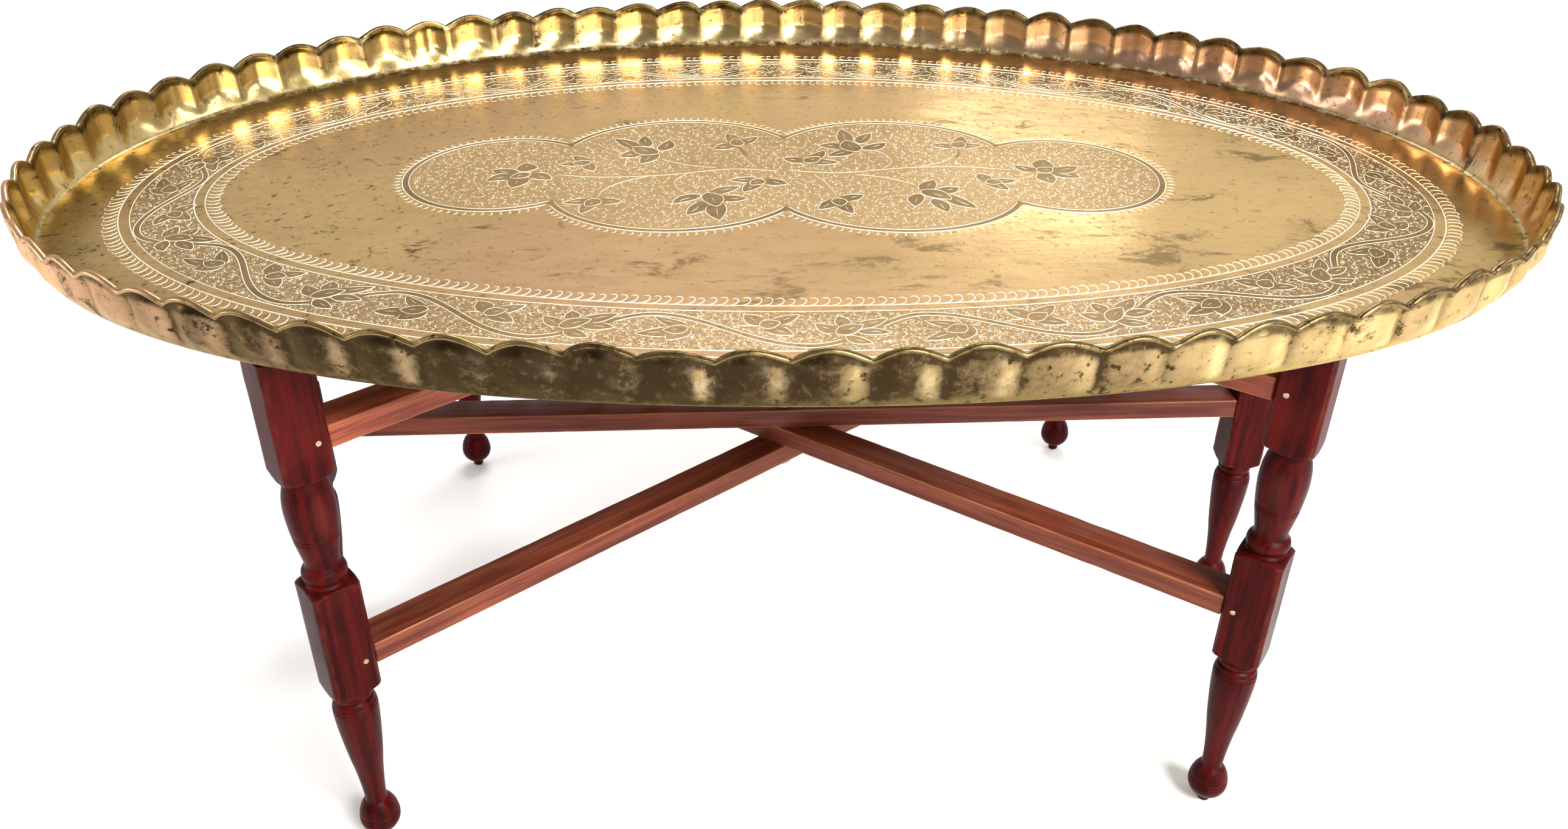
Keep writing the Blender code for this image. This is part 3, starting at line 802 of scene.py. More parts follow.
class Plates(Gathered):
    """Thin plates lying on the tray's floor."""

    smooth_angle = 40

    def add(self, verts, faces):
        """Adds vertices, and faces that count from the first of them."""
        self.faces += [[self.count + k for k in face] for face in faces]
        self.verts.append(verts)
        self.count += len(verts)

    def leaf(self, outline, rise):
        """A small plate filling a closed outline."""
        n = len(outline)
        ground = floor_height(outline[:, 0], outline[:, 1])
        middle = outline.mean(axis=0)
        centre = float(floor_height(middle[0], middle[1]))
        top = np.column_stack((outline, ground + rise))
        foot = np.column_stack((outline, ground - LINE_SINK))
        tips = ((*middle, centre + rise), (*middle, centre - LINE_SINK))
        faces = []
        for k in range(n):
            after = (k + 1) % n
            faces.append((k, after, 2 * n))
            faces.append((n + after, n + k, 2 * n + 1))
            faces.append((n + k, n + after, after, k))
        self.add(np.vstack((top, foot, tips)), faces)

    def strip(self, left, right, rise, rows, closed=True):
        """A ribbon between two lines that run side by side."""
        share = np.linspace(0, 1, rows + 1)[:, None, None]
        xy = left[None] * (1 - share) + right[None] * share
        ground = floor_height(xy[..., 0], xy[..., 1])
        top = np.concatenate((xy, (ground + rise)[..., None]), -1)
        foot = np.concatenate((xy, (ground - LINE_SINK)[..., None]), -1)
        loop = np.concatenate((top, foot[::-1]))
        n = len(left)
        ring = len(loop)
        faces = []
        for k in range(ring):
            low, high = k * n, ((k + 1) % ring) * n
            for i in range(n if closed else n - 1):
                after = (i + 1) % n
                faces.append((low + i, low + after, high + after, high + i))
        self.add(loop.reshape(-1, 3), faces)

    def disc(self, cx, cy, rx, ry, rise, rows=14, columns=80):
        """An elliptical plate that follows the unevenness of the floor."""
        turn = np.linspace(0, 2 * math.pi, columns, endpoint=False)
        share = np.linspace(0.02, 1, rows)[:, None]
        x = cx + rx * share * np.cos(turn)
        y = cy + ry * share * np.sin(turn)
        ground = floor_height(x, y)
        top = np.stack((x, y, ground + rise), -1)
        foot = np.stack((x, y, ground - LINE_SINK), -1)
        verts = np.concatenate((top, foot[::-1])).reshape(-1, 3)
        faces = tube_faces(2 * rows, columns, close_ends=False)
        faces.append(list(range(columns))[::-1])
        last = (2 * rows - 1) * columns
        faces.append([last + k for k in range(columns)])
        self.add(verts, faces)


def petal(base, tip, width, lean=0.0, points=11):
    """A closed leaf outline from base to tip; lean bends its middle sideways."""
    base, tip = np.asarray(base, float), np.asarray(tip, float)
    along = tip - base
    across = np.array((-along[1], along[0])) / np.linalg.norm(along)
    t = np.linspace(0, 1, points)[:, None]
    middle = base + along * t + across * lean * np.sin(math.pi * t)
    spread = across * (width / 2) * np.sin(math.pi * t**0.80) ** 0.80
    return np.vstack((middle + spread, (middle - spread)[-2:0:-1]))


MM = 0.001
LOTUS = (                       # top petal first: base, tip, width and lean, in millimetres
    ((-11, -6), (9, 9), 14, 1.0),
    ((-8, -4), (-27, 10), 12, 1.0),
    ((-6, 5), (-9, 22), 12, -1.0),
    ((0, 6), (28, 19), 12, -1.5),
    ((4, -2), (29, -3), 11, 1.0),
    ((-6, -8), (14, -19), 11, -1.5),
)
HANGING_BUD = (
    ((1, 0), (-15, -5), 11, 1.0),
    ((2, -1), (-9, -17), 14, -1.0),
    ((0, 1), (-23, 12), 9, 1.5),
    ((-3, -3), (-31, -12), 11, 1.0),
)
STANDING_BUD = (
    ((-2, -1), (10, 6), 10, 0.5),
    ((-1, 1), (-13, 13), 11, -1.0),
    ((1, 3), (18, 15), 10, -1.0),
    ((1, -2), (19, -7), 10, 1.0),
)
BLOSSOM = (
    ((-3, -2), (7, 5), 9, 0.0),
    ((2, 2), (4, 20), 12, 1.0),
    ((4, 0), (21, 9), 11, -1.0),
    ((4, -2), (20, -8), 11, 1.0),
    ((0, -3), (2, -19), 12, -1.0),
    ((-3, 0), (-16, 9), 10, 1.0),
)


def strike_motif(chasing, plates, plan, petals, place, size=1.0):
    """Draws a motif's petals, the top one first, so that each hides what lies under it."""
    for depth, (base, tip, width, lean) in enumerate(petals):
        wobble = rng.normal(0, 0.5, 4)
        outline = petal(
            (np.array(base) + wobble[:2]) * MM * size,
            (np.array(tip) + wobble[2:]) * MM * size,
            width * MM * size * rng.uniform(0.92, 1.10),
            lean * MM * size,
        )
        placed = place(outline)
        chasing.visible(plan, placed, STRONG_LINE, closed=True)
        vein = place(smooth_run((outline[0], outline.mean(axis=0), outline[10]), 5))
        chasing.visible(plan, vein[3:-2], FINE_LINE * 0.7)
        plates.leaf(placed, PETAL_RISE - 0.00001 * depth)
        plan.paint(placed)


def hooks(chasing, plan, oval, pitch, start, width, side=1.0):
    """A row of small open loops standing on an oval, each struck with one curved stroke."""
    count = int(oval.length / pitch)
    turn = np.radians(np.linspace(-105, 130, 11))
    for k in range(count):
        along = k * oval.length / count + rng.normal(0, 0.0004)
        size = rng.uniform(0.88, 1.10)
        sideways = 0.0036 * size * np.cos(turn) + 0.0012 * np.sin(turn)
        across = start + (0.0052 + 0.0052 * np.sin(turn)) * size
        chasing.visible(plan, oval.strip(along + sideways, across * side), width)


def vine_inward(travel, wave):
    """How far inward the vine runs: a wave whose trough comes a little late."""
    phase = np.mod(travel / wave, 1.0)
    half = np.where(phase < TROUGH, phase / TROUGH, (1.0 - phase) / (1.0 - TROUGH))
    return VINE_SWING * np.cos(math.pi * half)


SPRIG_STEMS = (                 # phase in the wave and distance inward, at the root and at the sprig
    (0.085, 0.0180, 0.130, 0.0030),
    (0.255, 0.0030, 0.400, 0.0050),
)


def turned(outline, angle):
    """Points turned about the origin."""
    c, s = math.cos(angle), math.sin(angle)
    return outline[:, 0] * c - outline[:, 1] * s, outline[:, 0] * s + outline[:, 1] * c


def border_band(lines, ground, plates, plan):
    """The vine between the two double rings, with a lotus and two sprigs in each wave."""
    middle = Oval(*BAND_MIDDLE, power=RING_POWER)
    wave = middle.length / WAVES
    for k in range(WAVES):
        for motif, phase, inward, tilt, size in (
            (LOTUS, 0.72, 0.0005, 0.05, 0.90),
            (HANGING_BUD, 0.130, 0.0025, 0.05, 1.08),
            (STANDING_BUD, 0.400, 0.0060, -0.05, 1.15),
        ):
            at = (k + phase + rng.normal(0, 0.012)) * wave
            rise = inward + rng.normal(0, 0.0006)
            turn = tilt + rng.normal(0, 0.09)

            def place(outline):
                x, y = turned(outline, turn)
                return middle.strip(at + x, rise + y)

            strike_motif(lines, plates, plan, motif, place, size * rng.uniform(0.96, 1.05))
    travel = np.linspace(0, middle.length, WAVES * 56, endpoint=False)
    centre = middle.strip(travel, vine_inward(travel, wave))
    sides = []
    lean = np.arctan(np.gradient(vine_inward(travel, wave), travel))
    for edge in (-1, 1):
        along = travel - edge * VINE_WIDTH / 2 * np.sin(lean)
        across = vine_inward(travel, wave) + edge * VINE_WIDTH / 2 * np.cos(lean)
        sides.append(middle.strip(along, across))
        lines.visible(plan, sides[-1], STRONG_LINE, closed=True)
    plates.strip(sides[0], sides[1], BAND_RISE, 1)
    plan.paint_line(centre, VINE_WIDTH)
    for k in range(WAVES):
        for phase, from_in, to_phase, to_in in SPRIG_STEMS:
            t = np.linspace(0, 1, 12)
            along = (k + phase + (to_phase - phase) * t) * wave
            across = from_in + (to_in - from_in) * t + 0.0025 * np.sin(math.pi * t)
            stem = middle.strip(along, across)
            lines.visible(plan, stem, FINE_LINE)
            plan.paint_line(stem, 0.0012)
    count = int(middle.length / 0.0062)
    bursts = []
    for row in np.arange(-BAND_HALF + 0.003, BAND_HALF - 0.002, 0.0056):
        along = (np.arange(count) + rng.uniform(-0.35, 0.35, count)) * middle.length / count
        bursts.append(middle.strip(along, row + rng.uniform(-0.0016, 0.0016, count)))

    def between_rings(points):
        return inside_oval(points, OUTER_RING[1]) & ~inside_oval(points, INNER_RING[0])

    scatter(ground, plan, np.vstack(bursts), between_rings)


def inside_oval(points, half):
    """Whether points lie inside a ring with these half length and half width."""
    return ((np.abs(points) / np.array(half)) ** RING_POWER).sum(axis=1) < 1.0


def scatter(ground, plan, bursts, allowed):
    """Little feathery bursts of struck marks wherever no motif lies."""
    rays = 5
    turn = rng.uniform(0, 2 * math.pi, len(bursts))
    middles, headings = [], []
    for ray in range(rays):
        heading = turn + (ray - rays / 2) * rng.uniform(0.45, 0.75, len(bursts))
        reach = rng.uniform(0.0016, 0.0030, len(bursts))
        middles.append(bursts + polar(heading) * reach[:, None])
        headings.append(heading)
    middles = np.vstack(middles)
    headings = np.concatenate(headings)
    d = polar(headings) * 0.0016
    free = ~plan.covered(middles) & ~plan.covered(middles + d) & ~plan.covered(middles - d)
    free &= allowed(middles + d) & allowed(middles - d)
    middles, headings = middles[free], headings[free]
    n = len(middles)
    ground.dashes(middles, headings, rng.uniform(0.0022, 0.0040, n), rng.uniform(0.0006, 0.0009, n))


def rings(lines, ground_plates):
    """The two double rings, and the matted ground between them."""
    share = np.linspace(0, 1, 720, endpoint=False)
    edges = [Oval(*half, power=RING_POWER).points(share) for half in (OUTER_RING[1], INNER_RING[0])]
    ground_plates.strip(*edges, GROUND_RISE, 7)
    share = np.linspace(0, 1, 640, endpoint=False)
    for pair in (OUTER_RING, INNER_RING):
        for half, weight in zip(pair, (1.15, 0.9)):
            lines.line(Oval(*half, power=RING_POWER).points(share), STRONG_LINE * weight, closed=True)


def lobe_runs(shrink, step=0.0030):
    """Stretches of the medallion's outline: each lobe's edge where no other lobe covers it."""
    runs = []
    for index, (cx, cy, rx, ry) in enumerate(MEDALLION_LOBES):
        count = int(2 * math.pi * max(rx, ry) / step)
        angle = np.linspace(0, 2 * math.pi, count, endpoint=False)
        edge = np.stack((cx + (rx - shrink) * np.cos(angle), cy + (ry - shrink) * np.sin(angle)), 1)
        shown = np.ones(count, bool)
        for other, lobe in enumerate(MEDALLION_LOBES):
            if other != index:
                shown &= lobe_distance(edge, lobe, shrink) >= 1.0
        if not shown.any():
            continue
        first = int(np.argmin(shown))
        edge = np.roll(edge, -first, axis=0)
        shown = np.roll(shown, -first)
        runs += [edge[a:b] for a, b in stretches(shown) if b - a > 3]
    return runs


def lobe_distance(points, lobe, shrink):
    """Less than one inside a lobe whose edge is drawn in by shrink."""
    cx, cy, rx, ry = lobe
    return ((points[:, 0] - cx) / (rx - shrink)) ** 2 + ((points[:, 1] - cy) / (ry - shrink)) ** 2


def in_medallion(points, shrink):
    """Whether points lie in any lobe of the medallion."""
    inside = np.zeros(len(points), bool)
    for lobe in MEDALLION_LOBES:
        inside |= lobe_distance(points, lobe, shrink) < 1.0
    return inside


def medallion(lines, ground, plates, ground_plates, plan):
    """The lobed cartouche in the middle: double outline, hooked fringe, scrolling stems, flowers."""
    for index, (cx, cy, rx, ry) in enumerate(MEDALLION_LOBES):
        plates.disc(cx, cy, rx, ry, 0.00006 + 0.000006 * index)
        ground_plates.disc(cx, cy, rx - 0.0052, ry - 0.0052, GROUND_RISE + 0.00002 + 0.000006 * index)
    for shrink, width in ((0.0, STRONG_LINE), (0.0052, FINE_LINE)):
        for run in lobe_runs(shrink):
            lines.line(run, width)
    for run in lobe_runs(0.0, 0.0066):
        direction = unit(np.gradient(run, axis=0))
        out = np.stack((direction[:, 1], -direction[:, 0]), 1)
        t = np.linspace(0, 1, 6)[:, None]
        for spot, way, forward in zip(run[1:-1], out[1:-1], direction[1:-1]):
            reach = rng.uniform(0.0058, 0.0074)
            curl = spot + way * (0.0012 + reach * t) + forward * 0.0024 * np.sin(math.pi * t)
            if not in_medallion(curl, -0.001).any():
                lines.line(curl, FINE_LINE)
    motifs = (
        (BLOSSOM, 0.215, 0.004, 0.0, 1.45),
        (LOTUS, 0.118, -0.052, -1.3, 1.20),
        (LOTUS, 0.060, 0.062, 1.2, 1.25),
        (STANDING_BUD, 0.150, 0.060, 0.6, 1.25),
        (STANDING_BUD, 0.040, -0.062, -1.9, 1.30),
        (STANDING_BUD, 0.020, 0.020, 0.4, 1.30),
        (STANDING_BUD, 0.165, -0.022, -0.5, 1.10),
    )
    for side in (1, -1):
        for motif, x, y, heading, size in motifs:
            turn = heading + (0.0 if side > 0 else math.pi)

            def place(outline):
                px, py = turned(outline, turn)
                return np.stack((side * x + px, side * y + py), 1)

            strike_motif(lines, plates, plan, motif, place, size)
    stems = (
        ((0.000, 0.000), (0.045, -0.006), (0.100, 0.006), (0.150, 0.010), (0.190, 0.004)),
        ((0.045, -0.006), (0.080, -0.016), (0.105, -0.032), (0.118, -0.045)),
        ((0.080, 0.002), (0.092, 0.022), (0.085, 0.045), (0.065, 0.058)),
        ((0.110, 0.008), (0.135, 0.022), (0.148, 0.040), (0.150, 0.056)),
        ((0.020, -0.004), (0.030, -0.025), (0.036, -0.045), (0.040, -0.056)),
    )
    for side in (1, -1):
        for knots in stems:
            curve = smooth_run(np.array(knots) * side, 14)
            direction = unit(np.gradient(curve, axis=0))
            across = np.stack((-direction[:, 1], direction[:, 0]), 1)
            thin = 0.0006 + 0.0016 * np.sin(math.pi * np.linspace(0.10, 0.95, len(curve)))[:, None]
            left, right = curve - across * thin, curve + across * thin
            plates.strip(left, right, PETAL_RISE - 0.00008, 1, closed=False)
            lines.visible(plan, right, FINE_LINE * 0.8)
            plan.paint_line(curve, 0.0030)
    spots = []
    y = np.arange(-0.125, 0.125, 0.0058)
    for x in np.arange(-0.31, 0.31, 0.0062):
        aside = x + rng.uniform(-0.002, 0.002, len(y))
        spots.append(np.stack((aside, y + rng.uniform(-0.002, 0.002, len(y))), 1))
    scatter(ground, plan, np.vstack(spots), lambda p: in_medallion(p, 0.0075))


def chase_tray(line_brass, petal_brass, border_brass, centre_brass):
    """All of the chasing; the motifs come first, so that hooks and stems stop at them."""
    plan = Plan()
    border, ground, centre, centre_ground, fringe = (Chasing() for _ in range(5))
    smooth, matted, centre_smooth, centre_matted = (Plates() for _ in range(4))
    border_band(border, ground, smooth, plan)
    rings(border, matted)
    inmost, outmost = (Oval(*half, power=RING_POWER) for half in (INNER_RING[1], OUTER_RING[0]))
    hooks(fringe, plan, inmost, 0.0076, 0.0010, FINE_LINE)
    hooks(fringe, plan, outmost, 0.0076, 0.0010, FINE_LINE * 0.7, -1.0)
    medallion(centre, centre_ground, centre_smooth, centre_matted, plan)
    border.piece("chased_border_vine", line_brass)
    ground.piece("chased_border_ground", line_brass)
    fringe.piece("chased_ring_fringe", line_brass)
    centre.piece("chased_medallion", line_brass)
    centre_ground.piece("chased_medallion_ground", line_brass)
    smooth.piece("smooth_border_petals", petal_brass)
    centre_smooth.piece("smooth_medallion_petals", petal_brass)
    matted.piece("matted_border_ground", border_brass)
    centre_matted.piece("matted_medallion_ground", centre_brass)


# ---- stand ------------------------------------------------------------------------------------
LOWER_BLOCK = (0.1645, 0.2630)
UPPER_BLOCK_FOOT = 0.3585
SQUARE = 0.028                  # lathe radius that leaves the stock square
BALL_CENTRE = 0.0208
BALL_RADIUS = 0.0160
SCRIBED = (0.1440, 0.1470, 0.3040, 0.3070, 0.0225, 0.0262)   # heights of the fine turned grooves


def shoulder(block_end, inner, upward):
    """Rounded shoulder of a square block, from its narrow end out to the full square."""
    drop = 0.0125
    turn = np.radians(np.linspace(0, 90, 10))
    radius = inner + (SQUARE - inner) * np.sin(turn)
    away = drop * (1 - np.cos(turn))
    return np.column_stack((radius, block_end + (away if upward else -away)))


def leg_profile(top):
    """Turned outline of a leg from the foot up: radius and height."""
    ball = np.radians(np.linspace(-70, 57, 19))
    stretch = np.where(ball < 0, 0.96, 1.45)
    runs = [
        np.array(((0.0042, 0.0), (0.0050, 0.0006), (0.0053, 0.0020), (0.0053, 0.0050))),
        np.column_stack((BALL_RADIUS * np.cos(ball), BALL_CENTRE + stretch * BALL_RADIUS * np.sin(ball))),
        smooth_run(((0.0084, 0.0440), (0.0090, 0.0560), (0.0108, 0.0750), (0.0134, 0.0950),
                    (0.0157, 0.1180), (0.0169, 0.1360), (0.0167, 0.1450), (0.0150, 0.1506)), 6),
        smooth_run(((0.0134, 0.1522), (0.0146, 0.1542), (0.0152, 0.1562), (0.0148, 0.1587),
                    (0.0134, 0.1612)), 4),
        shoulder(LOWER_BLOCK[0] - 0.0018, 0.0150, True),
        shoulder(LOWER_BLOCK[1] + 0.0010, 0.0150, False)[::-1],
        smooth_run(((0.0134, 0.2660), (0.0150, 0.2685), (0.0160, 0.2722), (0.0153, 0.2762),
                    (0.0130, 0.2788)), 4),
        smooth_run(((0.0121, 0.2806), (0.0126, 0.2850), (0.0140, 0.2925), (0.0158, 0.3025),
                    (0.0172, 0.3150), (0.0179, 0.3270), (0.0174, 0.3370), (0.0160, 0.3445),
                    (0.0145, 0.3500), (0.0138, 0.3530)), 6),
        shoulder(UPPER_BLOCK_FOOT - 0.0030, 0.0128, True),
        np.array(((SQUARE, top - 0.0006), (SQUARE - 0.0030, top))),
    ]
    outline = np.vstack(runs)
    travel = np.concatenate(([0.0], np.cumsum(np.linalg.norm(np.diff(outline, axis=0), axis=1))))
    fine = np.unique(np.concatenate((travel, np.arange(0, travel[-1], 0.0022))))
    return np.column_stack([np.interp(fine, travel, outline[:, k]) for k in (0, 1)])


def leg_directions():
    """Angles round a leg, closer together on the four chamfered corners."""
    half = np.concatenate((np.linspace(0, 38, 6)[:-1], np.linspace(38, 45, 4)))
    quarter = np.concatenate((half, 90 - half[-2:0:-1]))
    return np.radians(np.concatenate([quarter + 90 * k for k in range(4)]))


def turned_leg(name, axis, heading, top, material):
    """A leg standing on axis: the lesser of its turned outline and the worn square stock."""
    outline = leg_profile(top)
    extra = [h + d for h in SCRIBED for d in (-0.0007, 0.0, 0.0007)]
    heights = outline[:, 1]
    z = np.concatenate((heights, extra))
    order = np.argsort(z, kind="stable")
    z = z[order]
    r = np.concatenate((outline[:, 0], np.interp(extra, heights, outline[:, 0])))[order]
    for h in SCRIBED:
        r = r - 0.00055 * np.exp(-(((z - h) / 0.00045) ** 2))
    angle = leg_directions()
    worn = Ripple(0.03, 0.16, 8)
    rubbed = Ripple(0.012, 0.05, 10)
    a, zz = np.meshgrid(angle, z)
    quarter = np.round(a / (math.pi / 2))
    corner = np.abs(np.mod(a, math.pi / 2) - math.pi / 4)
    flat = STOCK_HALF / np.maximum(np.cos(math.pi / 4 - corner), 0.2)
    chamfer = STOCK_CHAMFER + 0.0011 * worn(quarter * 0.07, zz)
    chamfer = chamfer + 0.0007 * np.clip(rubbed(quarter * 0.05, zz), 0, 1)
    cut = (math.sqrt(2) * STOCK_HALF - chamfer / math.sqrt(2)) / np.cos(corner)
    square = np.minimum(flat, cut)
    lathe = np.repeat(r[:, None], len(angle), axis=1)
    radius = np.minimum(lathe, square) + 0.00012 * worn(a * 0.03, zz * 1.3)
    on_corner = (cut < flat) & (square < lathe)
    edge = np.exp(-(((lathe - square) / 0.0012) ** 2)) * (zz > 0.16)
    wear = np.clip(0.55 * on_corner * (0.4 + rubbed(a * 0.05, zz * 1.7)) + 0.35 * edge, 0, 1)
    x = radius * np.cos(a)
    y = radius * np.sin(a)
    verts = np.vstack((np.stack((x, y, zz), -1).reshape(-1, 3), ((0, 0, 0.0), (0, 0, top))))
    leg = add_piece(name, verts, tube_faces(len(z), len(angle)), material, 38)
    set_attribute(leg, "wear", np.append(wear.ravel(), (0.0, 0.2)))
    leg.location = (axis[0], axis[1], 0.0)
    leg.rotation_euler.z = heading
    return leg


def board_loop(half_width, half_thick, radius, per_corner):
    """A rounded rectangle in the board's YZ section."""
    points = []
    centres = ((1, -1, -90), (1, 1, 0), (-1, 1, 90), (-1, -1, 180))
    for sy, sz, start in centres:
        for turn in np.radians(np.linspace(start, start + 90, per_corner)):
            points.append((sy * (half_width - radius) + radius * math.cos(turn),
                           sz * (half_thick - radius) + radius * math.sin(turn)))
    return np.array(points)


def plain_board(name, half_length, base, thick, heading, material):
    """A board along its own X with rounded rubbed edges and a tenon on each end."""
    middle = base + thick / 2
    per_corner = 6
    outside = board_loop(BOARD_WIDTH / 2, thick / 2, 0.0014, per_corner)
    tight = board_loop(BOARD_WIDTH / 2 - 0.0007, thick / 2 - 0.0007, 0.0010, per_corner)
    tongue = board_loop(TENON[0] / 2, TENON[1] / 2, 0.0006, per_corner)
    uneven = Ripple(0.05, 0.30, 8)
    nicks = Ripple(0.010, 0.060, 12)
    reach = half_length - 0.0007
    between = np.linspace(-half_length + 0.006, half_length - 0.006, 120)
    body_x = np.concatenate(((-reach,), between, (reach,)))
    rows, wear = [], []
    corner_share = np.tile(np.sin(np.linspace(0, math.pi, per_corner)) ** 0.5, 4)
    sides = np.repeat(np.arange(4), per_corner) * 0.11
    length = np.linalg.norm(outside, axis=1)

    def add(x, loop, rub):
        rows.append(np.column_stack((np.full(len(loop), x), loop[:, 0], middle + loop[:, 1])))
        wear.append(rub)

    add(-half_length - TENON[2], tongue, corner_share * 0)
    add(-half_length - 0.0002, tongue, corner_share * 0)
    add(-half_length, tight, corner_share * 0.5)
    for x in body_x:
        at = np.full(len(sides), x)
        swell = 0.00016 * uneven(at, sides)
        nick = np.clip(nicks(at, sides) - 0.10, 0, 1) * 0.0011 * corner_share
        loop = outside * ((length + swell - nick) / length)[:, None]
        rub = corner_share * (0.30 + 0.7 * np.clip(0.5 + uneven(at * 2.1, sides + 0.4), 0, 1))
        add(x, loop, rub + 8 * nick / 0.0011 * 0.1)
    add(half_length, tight, corner_share * 0.5)
    add(half_length + 0.0002, tongue, corner_share * 0)
    add(half_length + TENON[2], tongue, corner_share * 0)
    tips = ((-half_length - TENON[2], 0, middle), (half_length + TENON[2], 0, middle))
    verts = np.vstack(rows + [tips])
    faces = [face[::-1] for face in tube_faces(len(rows), 4 * per_corner)]
    board = add_piece(name, verts, faces, material, 40)
    set_attribute(board, "wear", np.clip(np.append(np.concatenate(wear), (0, 0)), 0, 1))
    board.rotation_euler.z = heading
    return board


def lathe_verts(profile, sides):
    """Rings of a shape turned round Z, from the top or the foot, without its two end points."""
    turn = np.linspace(0, 2 * math.pi, sides, endpoint=False)
    return [
        np.column_stack((radius * np.cos(turn), radius * np.sin(turn), np.full(sides, height)))
        for radius, height in profile
    ]


def turned_solid(name, profile, sides, material):
    """A closed turned shape; its profile runs upward from the foot."""
    rings = lathe_verts(profile, sides)
    tips = ((0, 0, profile[0][1]), (0, 0, profile[-1][1]))
    return add_piece(name, np.vstack(rings + [tips]), tube_faces(len(rings), sides), material, 35)


def turned_ring(name, profile, sides, material, sides_of=None):
    """A turned shape with a hole: the profile is a closed loop, up the outside and down the hole."""
    rings = lathe_verts(profile, sides)
    verts = np.vstack(rings)
    if sides_of is not None:
        verts = sides_of(verts)
    return add_piece(name, verts, tube_faces(len(rings), sides, wrap=True), material, 30)


def fit_pin(name, axis, heading, level, side, material):
    """A peg through a leg's tenon joint, its domed head just proud of the leg's face."""
    r = PIN_RADIUS
    profile = [(r * 0.7, -PIN_LENGTH), (r, -PIN_LENGTH + 0.0006), (r, -0.0002), (r * 1.06, 0.0)]
    profile += [(r * 0.98, PIN_PROUD * 0.55), (r * 0.72, PIN_PROUD * 0.88), (r * 0.35, PIN_PROUD)]
    pin = turned_solid(name, profile, 20, material)
    along = Matrix.Rotation(math.radians(-90.0 * side), 4, "X")
    out = Matrix.Translation((STOCK_HALF - PIN_INSET, side * STOCK_HALF, level))
    leg = Matrix.Translation((axis[0], axis[1], 0.0)) @ Matrix.Rotation(heading, 4, "Z")
    pin.matrix_world = leg @ out @ along
    return pin


def build_stand(leg_wood, lower_wood, upper_wood, pin_metal):
    """Three frames: each has a leg at both ends of a lower stretcher and an upper rail, and pins."""
    frames = (                  # name, its two legs, side of the leg that shows the pin's head
        ("front_left", ("front_left", "rear_right"), -1),
        ("front_right", ("front_right", "rear_left"), 1),
        ("middle", ("middle_left", "middle_right"), -1),
    )
    boards = (("lower", "lower_stretcher_", lower_wood), ("upper", "upper_rail_", upper_wood))
    for name, legs, side in frames:
        body = name + "_frame"
        low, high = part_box("leg_" + legs[0])
        first = ((low.x + high.x) / 2, (low.y + high.y) / 2)
        heading = math.atan2(first[1], first[0])
        half_length = math.hypot(*first) - STOCK_HALF - 0.0003
        levels = {}
        for level, board, wood in boards:
            node = board + name
            foot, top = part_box(node)
            levels[level] = (foot.z + top.z) / 2
            piece = plain_board(node + "_board", half_length, foot.z, top.z - foot.z, heading, wood)
            hand_over(piece, body, node)
        for index, leg in enumerate(legs):
            sign = 1 - 2 * index
            axis = (sign * first[0], sign * first[1])
            outward = heading + math.pi * (1 - index)
            piece = turned_leg(leg + "_turned_leg", axis, outward, high.z - LEG_TOP_GAP, leg_wood)
            hand_over(piece, body, "leg_" + leg)
            for level, height in levels.items():
                node = "pin_" + level + "_" + leg
                pin = fit_pin(node + "_head", axis, outward, height, side, pin_metal)
                hand_over(pin, body, node)


def hexagon(verts):
    """Pulls a round outside in to six flats, leaving the hole round."""
    radius = np.linalg.norm(verts[:, :2], axis=1)
    angle = np.arctan2(verts[:, 1], verts[:, 0])
    flat = 0.0065 / np.cos(np.mod(angle, math.pi / 3) - math.pi / 6)
    limit = np.where(radius > 0.0050, np.minimum(radius, flat), radius)
    return np.column_stack((verts[:, :2] * (limit / radius)[:, None], verts[:, 2]))


BOLT_HEAD_HEIGHT = 0.0045
BOLT_HEAD_RADIUS = 0.0095
BOLT_RADIUS = 0.0039
BOLT_HOLE = 0.0044
PIVOT_RINGS = (                 # node, outer radius, rounding of its edge, outer shape
    ("head_washer", 0.0110, 0.0003, None),
    ("nut_washer", 0.0110, 0.0003, None),
    ("nut", 0.0075, 0.0009, hexagon),
)


def build_pivots(steel):
    """Round-headed bolt, two washers and a nut on each of the two board stacks."""
    for level in ("lower", "upper"):
        prefix = level + "_pivot_"
        low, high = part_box(prefix + "bolt")
        under = high.z - BOLT_HEAD_HEIGHT
        profile = [(BOLT_RADIUS - 0.0008, low.z), (BOLT_RADIUS, low.z + 0.0008)]
        thread = np.arange(low.z + 0.0012, low.z + 0.0120, 0.00035)
        profile += [(BOLT_RADIUS - 0.00025 * (k % 2), z) for k, z in enumerate(thread)]
        profile += [(BOLT_RADIUS, under), (0.0092, under), (BOLT_HEAD_RADIUS, under + 0.0004)]
        for turn in np.radians(np.linspace(8, 84, 12)):
            across, up = BOLT_HEAD_RADIUS * math.cos(turn), BOLT_HEAD_HEIGHT * math.sin(turn)
            profile.append((across, under + up))
        bolt = turned_solid(prefix + "bolt_body", profile, 40, steel)
        hand_over(bolt, "middle_frame", prefix + "bolt")
        for node, radius, edge, shape in PIVOT_RINGS:
            foot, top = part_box(prefix + node)
            loop = [(BOLT_HOLE, foot.z), (radius - edge, foot.z), (radius, foot.z + edge * 0.6),
                    (radius, top.z - edge * 0.6), (radius - edge, top.z), (BOLT_HOLE, top.z)]
            piece = turned_ring(prefix + node + "_ring", loop, 48, steel, shape)
            hand_over(piece, "middle_frame", prefix + node)


# ---- studio -----------------------------------------------------------------------------------
CAMERA_PLACE = (-0.0158, -1.0118, 0.8488)
CAMERA_YAW = 0.0161
CAMERA_PITCH = 0.5529
CAMERA_ROLL = -0.0074
CAMERA_LENS = 29.54
SENSOR = 36.0


